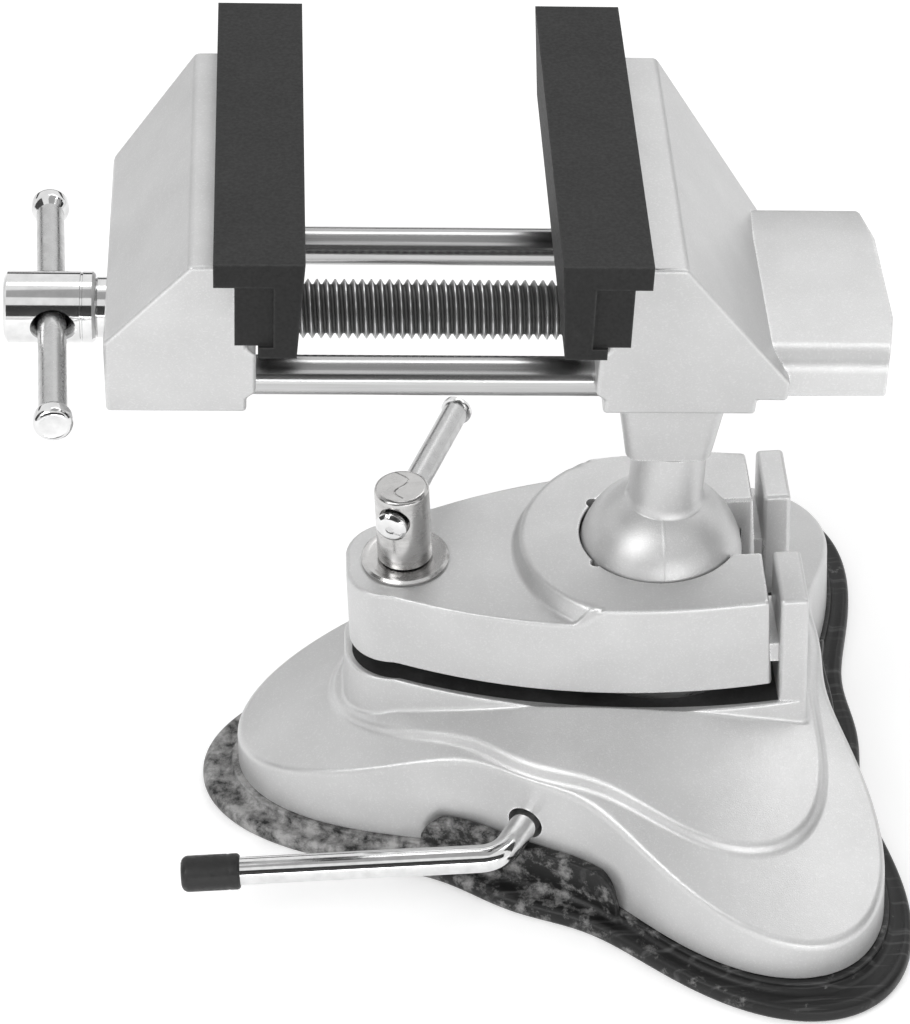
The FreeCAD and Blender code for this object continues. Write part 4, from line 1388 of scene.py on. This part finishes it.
@dataclass
class Jaws:
    """The two jaw castings with their rubber covers."""

    moving_face: float = -62.0
    fixed_face: float = -22.9
    moving_blade: float = 4.8
    fixed_blade: float = 5.4
    strip_z: float = 30.2
    bottom: float = -4.4
    half: float = 30.9
    draft: float = 0.243
    stem: float = 4.2
    nose_low: float = -1.2
    nose_high: float = 11.1
    nose_step: float = 1.5
    pad_half: float = 37.6
    pad_top: float = 35.6
    pad_lip: float = 14.0
    pad_low: float = 18.0
    pad_slant: float = 1.2
    pad_hook: float = 2.4
    cheek_inset: float = 0.6
    blade_top: float = 31.3
    blade_low: float = 20.0
    blade_half: float = 36.0
    blade_long: float = 6.0
    heart_half: float = 10.5
    heart_low: float = -7.5
    rod_y: float = 18.05
    tail_start: float = 12.0
    tail_end: float = 34.5
    tail_half: float = 22.0
    tail_top: float = 7.3
    tail_low: float = -1.0
    tail_round: float = 3.9
    tail_flat: float = 11.0
    tail_cut: float = 1.9
    room_half: float = 21.42
    room_roof: float = 5.6
    room_round: float = 3.4

    def half_at(self, z: float) -> float:
        """Gives half the width of a casting at one height."""
        return self.half - self.draft * (self.strip_z - z)

    def wedge(self, name: str, profile: Outline, face: float, way: int) -> Piece:
        """Builds a wedge with slanting sides from its profile.

        Args:
            name: Name of the piece.
            profile: Pairs of distance from the clamping face and height.
            face: Place of the clamping face.
            way: 1 towards +X, -1 towards -X.

        Returns:
            The new object in the head frame.
        """
        rings = [[Vector((face + way * s, side * self.half_at(z), z)) for s, z in profile]
                 for side in (-1, 1)]
        return round_edges(ring_solid(name, rings), 0.7, 3, 12.0)

    def front(self, blade: float) -> Outline:
        """Gives the corners of the front wall with its raised nose."""
        wall = blade + self.stem
        nose = wall - self.nose_step
        return [(wall, self.bottom), (wall, self.nose_low), (nose, self.nose_low + self.nose_step),
                (nose, self.nose_high - self.nose_step), (wall, self.nose_high), (wall, self.strip_z)]

    def blade(self, face: float, way: int, start: float) -> Piece:
        """Builds the blade that carries the rubber cover."""
        x0, x1 = sorted((face + way * start, face + way * (start + self.blade_long)))
        half = self.blade_half - 0.02
        blade = block("blade", (x0, -half, self.blade_low), (x1, half, self.blade_top - 0.02))
        return round_edges(blade, 0.3, 2)

    def heart(self, start: float, end: float) -> Piece:
        """Builds the thick middle that carries the spindle."""
        heart = block("heart", (start, -self.heart_half, self.heart_low), (end, self.heart_half, 2.0))
        return round_edges(heart, 0.6, 3)

    def bore(self, radius: float, y: float, start: float, end: float, lip: float = 0.0) -> Piece:
        """Builds a round cutter along the spindle direction, flared at its start."""
        profile = [(0, radius + lip), (max(lip, 0.01), radius), (end - start, radius)]
        return turned("bore", profile, Vector((start, y, 0)), AHEAD, 48)

    def cover(self, name: str, face: float, way: int, blade: float) -> Piece:
        """Builds one rubber cover.

        Args:
            name: Name of the piece.
            face: Place of the clamping face.
            way: 1 towards +X, -1 towards -X.
            blade: Distance from the face to the blade.

        Returns:
            The cover with its thick front, top lip, hook and two end cheeks, in the head frame.
        """
        hook = blade + self.pad_hook
        profile = [(0.0, self.pad_top), (self.pad_lip, self.pad_top), (self.pad_lip, self.blade_top),
                   (blade, self.blade_top), (blade, self.blade_low), (hook, self.blade_low),
                   (hook, self.pad_low), (self.pad_slant, self.pad_low)]
        rings = [[Vector((face + way * s, y, z)) for s, z in profile]
                 for y in (-self.pad_half, self.pad_half)]
        cheeks = []
        for side in (-1, 1):
            y0, y1 = sorted((side * self.blade_half, side * (self.pad_half - self.cheek_inset)))
            x0, x1 = sorted((face + way * (blade - 0.5), face + way * (blade + self.blade_long)))
            cheeks.append(block("cheek", (x0, y0, self.blade_low - 0.01), (x1, y1, self.blade_top + 0.3)))
        return round_edges(change(ring_solid(name, rings), cheeks, Join.ADD), 0.55, 3, 40.0)

    def tail(self) -> Piece:
        """Builds the box behind the fixed jaw, round in front, faceted behind, with two end corners cut."""
        half, top, low, flat = self.tail_half, self.tail_top, self.tail_low, self.tail_flat
        section = [(-half, low)] + quarter_bend(half, top, self.tail_round, 10) + [
            (-flat, top), (flat, top), (19.6, top - 0.75), (20.6, top - 1.1), (21.5, top - 1.9),
            (half, top - 3.0), (half, low), (flat, low), (-flat, low)]
        rings = []
        for start, cut in ((self.tail_start, 0.0), (self.tail_end, self.tail_cut)):
            rings.append([Vector((start - cut * max(0.0, (abs(y) - flat) / (half - flat)), y, z))
                          for y, z in section])
        return round_edges(ring_solid("tail", rings), 0.45, 2, 50.0)

    def tail_room(self) -> Piece:
        """Builds the hollow of the tail box."""
        shape = [(-self.room_half, -3.0)] + quarter_bend(self.room_half, self.room_roof, self.room_round, 8)
        full = shape + [(-y, z) for y, z in reversed(shape)]
        return ring_solid("room", [[Vector((x, y, z)) for y, z in full] for x in (16.5, 40.0)])

    def finish(self, jaw: Piece, cover: Piece, body: Body, finishes: Finishes,
               nodes: tuple[str, str]) -> None:
        """Settles a jaw and its rubber cover."""
        settle(HEAD.place(jaw), body, finishes.silver, [nodes[0]], 36.0)
        settle(HEAD.place(cover), body, finishes.charcoal, [nodes[1]], 36.0)

    def build_fixed(self, finishes: Finishes) -> None:
        """Builds the fixed jaw with its tail box and rubber cover."""
        face, blade = self.fixed_face, self.fixed_blade
        profile = self.front(blade) + [(20.2, self.strip_z), (39.4, 3.4), (39.4, self.tail_low),
                                       (self.tail_end, self.tail_low), (self.tail_end, self.bottom)]
        jaw = self.wedge("fixed_jaw_casting", profile, face, 1)
        change(jaw, [self.blade(face, 1, blade), self.tail(), self.heart(-13.0, 16.4)], Join.ADD)
        rods = [self.bore(3.4, y, -14.0, 17.0, 0.3) for y in (-self.rod_y, self.rod_y)]
        nut = [self.bore(5.6, 0.0, -15.0, 17.0), self.bore(6.85, 0.0, -6.02, 8.3)]
        change(jaw, [self.tail_room()] + rods + nut, Join.CUT)
        cover = self.cover("fixed_jaw_cover", face, 1, blade)
        self.finish(jaw, cover, Body.HEAD, finishes, ("fixed_jaw", "fixed_jaw_pad"))

    def build_moving(self, finishes: Finishes) -> None:
        """Builds the moving jaw and its rubber cover."""
        face, blade = self.moving_face, self.moving_blade
        profile = self.front(blade) + [(17.7, self.strip_z), (31.6, 12.1), (31.6, self.bottom)]
        jaw = self.wedge("moving_jaw_casting", profile, face, -1)
        change(jaw, [self.blade(face, -1, blade), self.heart(-93.5, -71.1)], Join.ADD)
        screw = [block("pocket", (-86.0, -9.0, -9.0), (-80.0, 9.0, 7.0)),
                 self.bore(5.2, 0.0, -80.1, -60.0), self.bore(3.6, 0.0, -96.0, -85.0)]
        rods = [self.bore(3.32, y, -91.0, -60.0) for y in (-self.rod_y, self.rod_y)]
        change(jaw, screw + rods, Join.CUT)
        cover = self.cover("moving_jaw_cover", face, -1, blade)
        self.finish(jaw, cover, Body.SLIDING_JAW, finishes, ("moving_jaw", "moving_jaw_pad"))


@dataclass
class GuideRods:
    """The two polished rods that guide the moving jaw."""

    radius: float = 3.25
    start: float = -90.98
    end: float = 14.0
    y: float = 18.05

    def build(self, finishes: Finishes) -> None:
        """Builds both rods, with a centre mark in their far ends."""
        long = self.end - self.start
        r = self.radius
        profile = [(0, r - 0.3), (0.3, r), (long - 0.75, r), (long - 0.2, r - 0.35), (long, r - 0.8),
                   (long, 0.9), (long - 0.7, 0.3)]
        for name, way in (("guide_rod_front", -1), ("guide_rod_back", 1)):
            rod = turned(name + "_bar", profile, Vector((self.start, way * self.y, 0)), AHEAD)
            settle(HEAD.place(rod), Body.SLIDING_JAW, finishes.rod, [name])


@dataclass
class Spindle:
    """The threaded spindle, its collar and its hub."""

    crest: float = 4.95
    root: float = 4.06
    pitch: float = 1.5
    start: float = -79.95
    end: float = 12.0
    steps: int = 40
    journal_start: float = -99.9
    journal_r: float = 3.5
    clip_seat_r: float = 2.9
    collar_start: float = -95.8
    collar_long: float = 2.12
    collar_r: float = 5.1
    collar_chamfer: float = 0.3
    hub_r: float = 6.0
    hub_start: float = -110.9
    bar_x: float = -103.2
    bar_turn: float = math.radians(93.1)

    def mark_roots(self, mesh: bpy.types.Mesh) -> None:
        """Marks how deep each point of the thread lies, from 0 on the crest to 1 in the root, for the painted
        shade of the roots.
        """
        mark = mesh.attributes.new("root", "FLOAT", "POINT")
        for i, vertex in enumerate(mesh.vertices):
            radius = math.hypot(vertex.co.y, vertex.co.z) / MM
            mark.data[i].value = min(1.0, max(0.0, (self.crest - radius) / (self.crest - self.root)))

    def thread(self) -> Piece:
        """Sweeps the thread, run out at both ends."""
        steps = self.steps
        section = ((0.0, self.root), (0.10, self.root), (0.44, self.crest), (0.56, self.crest),
                   (0.90, self.root))
        size = len(section)
        turns = int((self.end - self.start) / self.pitch) + 2
        points: list[Vector] = []
        for i in range(turns * steps + 1):
            angle = FULL * i / steps
            for share, radius in section:
                x = self.start - self.pitch + self.pitch * (i / steps + share)
                x = min(max(x, self.start), self.end)
                r = min(radius, 4.3 + (x - self.start), 4.1 + (self.end - x))
                points.append(Vector((x, r * math.cos(angle), r * math.sin(angle))))
        last = (turns - 1) * steps
        faces = []
        for i in range(last):
            for j in range(size):
                a, b = i * size + j, (i + 1) * size + j
                c, d = b + 1, a + 1
                if j == size - 1:
                    c, d = (i + 1 + steps) * size, (i + steps) * size
                faces.append((a, b, c, d))
        ends = [tuple((end + i) * size for i in range(steps)) for end in (0, last)]
        piece = put_mesh("spindle_thread", points, faces + ends)
        work = bmesh.new()
        work.from_mesh(piece.data)
        bmesh.ops.dissolve_degenerate(work, dist=2e-6, edges=work.edges)
        work.to_mesh(piece.data)
        work.free()
        # depth mark for the painted shade in the thread roots
        self.mark_roots(piece.data)
        return piece

    def collar(self) -> Piece:
        """Builds the thrust collar."""
        inner, outer = self.journal_r + 0.02, self.collar_r - self.collar_chamfer
        long, edge = self.collar_long, self.collar_chamfer
        rings = []
        for along, r in ((0.0, inner), (0.0, outer), (edge, self.collar_r), (1.8, self.collar_r),
                         (long, outer), (long, inner)):
            rings.append([Vector((self.collar_start + along, r * math.cos(t), r * math.sin(t)))
                          for t in circle(64)])
        return ring_solid("spindle_collar_ring", rings, True)

    def hub(self) -> Piece:
        """Builds the hub with its cross hole."""
        r = self.hub_r
        long = self.collar_start - self.hub_start
        profile = [(0.12, 0.5), (0.12, r - 1.5), (0.0, r - 1.3), (0.0, r - 0.85), (0.15, r - 0.5), (0.6, r),
                   (long - 2.6, r), (long - 2.45, r - 0.15), (long - 2.25, r - 0.15), (long - 2.1, r),
                   (long - 0.6, r), (long - 0.15, r - 0.4), (long, r - 0.7), (long, 3.55)]
        hub = turned("spindle_hub_head", profile, Vector((self.hub_start, 0, 0)), AHEAD, 80)
        way = Vector((math.cos(self.bar_turn), math.sin(self.bar_turn), 0))
        cross = [(0, 5.2), (3.35, 2.75), (4.5, 2.42), (11.5, 2.42), (12.65, 2.75), (16.0, 5.2)]
        return change(hub, [turned("hole", cross, Vector((self.bar_x, 0, 0)) - way * 8.0, way, 48)], Join.CUT)

    def build(self, finishes: Finishes) -> None:
        """Builds the thread, the journal, the collar and the hub."""
        settle(HEAD.place(self.thread()), Body.SCREW, finishes.thread, ["spindle"], 30.0)
        r, seat = self.journal_r, self.clip_seat_r
        profile = [(0, 3.2), (0.3, r), (13.9, r), (13.95, seat), (14.9, seat), (14.95, r), (20.2, r)]
        journal = turned("spindle_journal", profile, Vector((self.journal_start, 0, 0)), AHEAD, 48)
        settle(HEAD.place(journal), Body.SCREW, finishes.thread, [])
        settle(HEAD.place(self.collar()), Body.SCREW, finishes.chrome, ["spindle_collar"])
        settle(HEAD.place(self.hub()), Body.SCREW, finishes.chrome, ["spindle_hub"])


@dataclass
class TommyBar:
    """The sliding bar of the spindle with its two turned caps."""

    radius: float = 2.35
    near: float = -32.2
    far: float = 30.4
    cap_r: float = 3.25
    cap_long: float = 3.9
    x: float = -103.2
    turn: float = math.radians(93.1)

    def build(self, finishes: Finishes) -> None:
        """Builds the bar and its caps."""
        way = Vector((math.cos(self.turn), math.sin(self.turn), 0))
        middle = AHEAD * self.x
        bar = turned("tommy_bar_rod", rod_profile(self.far - self.near - 2, self.radius, 0.2),
                     middle + way * (self.near + 1), way, 48)
        settle(HEAD.place(bar), Body.SCREW_HANDLE, finishes.satin, ["tommy_bar"])
        r = self.cap_r
        profile = [(0.1, 0.4), (0.1, r - 1.15), (0.0, r - 1.0), (0.05, r - 0.75), (0.25, r - 0.4),
                   (0.7, r - 0.08), (1.1, r), (2.2, r), (2.6, r - 0.1), (3.1, r - 0.4),
                   (3.6, self.radius + 0.15), (self.cap_long, self.radius - 0.03)]
        for name, start, inward, nodes in (("tommy_cap_near", self.near, way, ["tommy_bar_caps"]),
                                           ("tommy_cap_far", self.far, -way, [])):
            cap = turned(name, profile, middle + way * start, inward, 56)
            settle(HEAD.place(cap), Body.SCREW_HANDLE, finishes.chrome, nodes)


@dataclass
class InnerParts:
    """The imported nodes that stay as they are, with better finishes."""

    zinc: tuple[str, ...] = ("ball_cup", "lift_plate", "lift_stud", "lever_cam", "lever_clip", "rod_pins",
                             "spindle_clip")
    brass: tuple[str, ...] = ("spindle_nut",)
    thread: tuple[str, ...] = ("clamp_stud",)

    def build(self, finishes: Finishes) -> None:
        """Gives the nodes their finishes."""
        for nodes, finish in ((self.zinc, finishes.zinc), (self.brass, finishes.brass),
                              (self.thread, finishes.thread)):
            for node in nodes:
                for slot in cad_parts[node].material_slots:
                    slot.material = finish
                LOG.info("dressed %s", node)


# Studio


@dataclass(frozen=True)
class Lamp:
    """A soft lamp: place in metres, size in metres, power in watts."""

    name: str
    place: tuple[float, float, float]
    size: tuple[float, float]
    power: float


@dataclass(frozen=True)
class Card:
    """A dim card that only shines back from metal: place and size in metres, tone from 0 to 1."""

    name: str
    place: tuple[float, float, float]
    size: tuple[float, float]
    tone: float


@dataclass
class Studio:
    """Pale floor, soft lamps, white surroundings and the camera."""

    elevation: float = math.radians(39.606)
    roll: float = math.radians(-2.414)
    azimuth: float = math.radians(0.761)
    sensor: float = 36.0
    lens: float = 36.0 * 3578.6 / 1024.0
    distance: float = 621.7
    target: tuple[float, float, float] = (-28.037, 0.0, 60.237)
    aim: tuple[float, float, float] = (-0.02, 0.0, 0.06)
    floor_side: float = 4000.0
    floor_z: float = -0.05
    floor_tone: float = 0.86
    floor_glow: float = 0.30
    diffuse_glow: float = 0.55
    lamps: tuple[Lamp, ...] = (
        Lamp("key", (-0.60, -0.55, 0.70), (0.7, 0.5), 4.0),
        Lamp("top", (0.30, 0.30, 1.0), (0.9, 0.6), 3.2),
        Lamp("front", (0.25, -1.0, 0.30), (0.8, 0.4), 4.0),
    )
    cards: tuple[Card, ...] = (
        Card("flag_left", (-0.75, -0.1, 0.25), (0.40, 1.1), 0.08),
        Card("flag_right", (0.75, -0.1, 0.25), (0.40, 1.1), 0.08),
        Card("flag_front", (0.0, -0.72, 0.42), (1.8, 0.50), 0.05),
        Card("flag_back", (0.0, 0.65, 0.22), (1.5, 0.14), 0.05),
        Card("flag_above", (0.12, -0.05, 0.85), (0.7, 0.45), 0.45),
    )

    def camera(self) -> None:
        """Sets the camera at the viewing angle of the photograph."""
        ce, se = math.cos(self.elevation), math.sin(self.elevation)
        ahead = Vector((ce * math.sin(self.azimuth), ce * math.cos(self.azimuth), -se))
        right = Vector((math.cos(self.azimuth), -math.sin(self.azimuth), 0))
        down = ahead.cross(right)
        cr, sr = math.cos(self.roll), math.sin(self.roll)
        data = bpy.data.cameras.new("camera")
        data.lens = self.lens
        data.sensor_width = self.sensor
        data.clip_start = 0.02
        data.clip_end = 20.0
        view = bpy.data.objects.new("camera", data)
        turn = Matrix((right * cr - down * sr, -(right * sr + down * cr), -ahead)).transposed().to_4x4()
        place = (Vector(self.target) - ahead * self.distance) * MM
        view.matrix_world = Matrix.Translation(place) @ turn
        bpy.context.scene.collection.objects.link(view)
        bpy.context.scene.camera = view

    def point(self, thing: Piece, place: tuple[float, float, float], axis: str) -> None:
        """Stands a lamp or card in its place and turns one axis of it to the vise."""
        thing.location = place
        thing.rotation_euler = (Vector(self.aim) - Vector(place)).to_track_quat(axis, "Y").to_euler()

    def hang_lamp(self, lamp: Lamp) -> None:
        """Hangs a soft lamp that faces the vise."""
        data = bpy.data.lights.new(lamp.name, "AREA")
        data.shape = "RECTANGLE"
        data.size, data.size_y = lamp.size
        data.energy = lamp.power
        thing = bpy.data.objects.new(lamp.name, data)
        self.point(thing, lamp.place, "-Z")
        bpy.context.scene.collection.objects.link(thing)

    def sheet(self, name: str, half_x: float, half_y: float, z: float, material: Material) -> Piece:
        """Makes a flat sheet, sizes in millimetres."""
        corners = [(-half_x, -half_y), (half_x, -half_y), (half_x, half_y), (-half_x, half_y)]
        sheet = put_mesh(name, [Vector((x, y, z)) for x, y in corners], [(0, 1, 2, 3)])
        sheet.data.materials.append(material)
        return sheet

    def stand_card(self, card: Card) -> None:
        """Stands a dim card around the vise."""
        material = bpy.data.materials.new(card.name)
        material.use_nodes = True
        material.node_tree.nodes.clear()
        graph = Graph(material.node_tree)
        glow = graph.node("ShaderNodeEmission", in_0=grey(card.tone))
        graph.link(glow.outputs[0], graph.node("ShaderNodeOutputMaterial").inputs["Surface"])
        sheet = self.sheet(card.name, card.size[0] / 2 / MM, card.size[1] / 2 / MM, 0.0, material)
        self.point(sheet, card.place, "Z")
        sheet.visible_camera = False
        sheet.visible_diffuse = False
        sheet.visible_shadow = False

    def floor(self) -> None:
        """Lays the white floor that keeps the shadow of the vise."""
        material = bpy.data.materials.new("pale_floor")
        material.use_nodes = True
        graph = Graph(material.node_tree)
        shader = material.node_tree.nodes["Principled BSDF"]
        shader.inputs["Base Color"].default_value = grey(self.floor_tone)
        shader.inputs["Roughness"].default_value = 0.9
        shader.inputs["Specular IOR Level"].default_value = 0.0
        rays = graph.node("ShaderNodeLightPath").outputs
        seen = graph.math("ADD", rays["Is Camera Ray"], rays["Is Glossy Ray"], True)
        glow = graph.node("ShaderNodeEmission", in_0=grey(1.0))
        graph.link(graph.math("MULTIPLY", seen, self.floor_glow), glow.inputs["Strength"])
        both = graph.node("ShaderNodeAddShader")
        graph.link(shader.outputs[0], both.inputs[0])
        graph.link(glow.outputs[0], both.inputs[1])
        graph.link(both.outputs[0], material.node_tree.nodes["Material Output"].inputs["Surface"])
        self.sheet("floor", self.floor_side, self.floor_side, self.floor_z, material)

    def world(self) -> None:
        """Surrounds the vise with soft white, dimmer for the light that falls on dull surfaces."""
        world = bpy.data.worlds.new("studio")
        bpy.context.scene.world = world
        world.use_nodes = True
        graph = Graph(world.node_tree)
        back = world.node_tree.nodes["Background"]
        back.inputs["Color"].default_value = grey(1.0)
        rays = graph.node("ShaderNodeLightPath").outputs
        seen = graph.math("ADD", rays["Is Camera Ray"], rays["Is Transmission Ray"], True)
        seen = graph.math("MAXIMUM", seen, rays["Is Glossy Ray"])
        graph.link(graph.span(seen, 0.0, 1.0, self.diffuse_glow, 1.0), back.inputs["Strength"])

    def build(self) -> None:
        """Builds the studio."""
        bpy.context.scene.view_settings.view_transform = "Standard"
        self.floor()
        self.world()
        for lamp in self.lamps:
            self.hang_lamp(lamp)
        for card in self.cards:
            self.stand_card(card)
        self.camera()


def main() -> None:
    """Builds the studio and every sub-assembly in order."""
    logging.basicConfig(level=logging.INFO, format="%(name)s: %(message)s")
    Studio().build()
    finishes = Finishes()
    SuctionFoot().build(finishes)
    BaseHousing().build(finishes)
    SuctionLever().build(finishes)
    ClampCover().build(finishes)
    ClampScrew().build(finishes)
    BallNeck().build(finishes)
    jaws = Jaws()
    jaws.build_fixed(finishes)
    jaws.build_moving(finishes)
    GuideRods().build(finishes)
    Spindle().build(finishes)
    TommyBar().build(finishes)
    InnerParts().build(finishes)


if __name__ == "__main__":
    main()
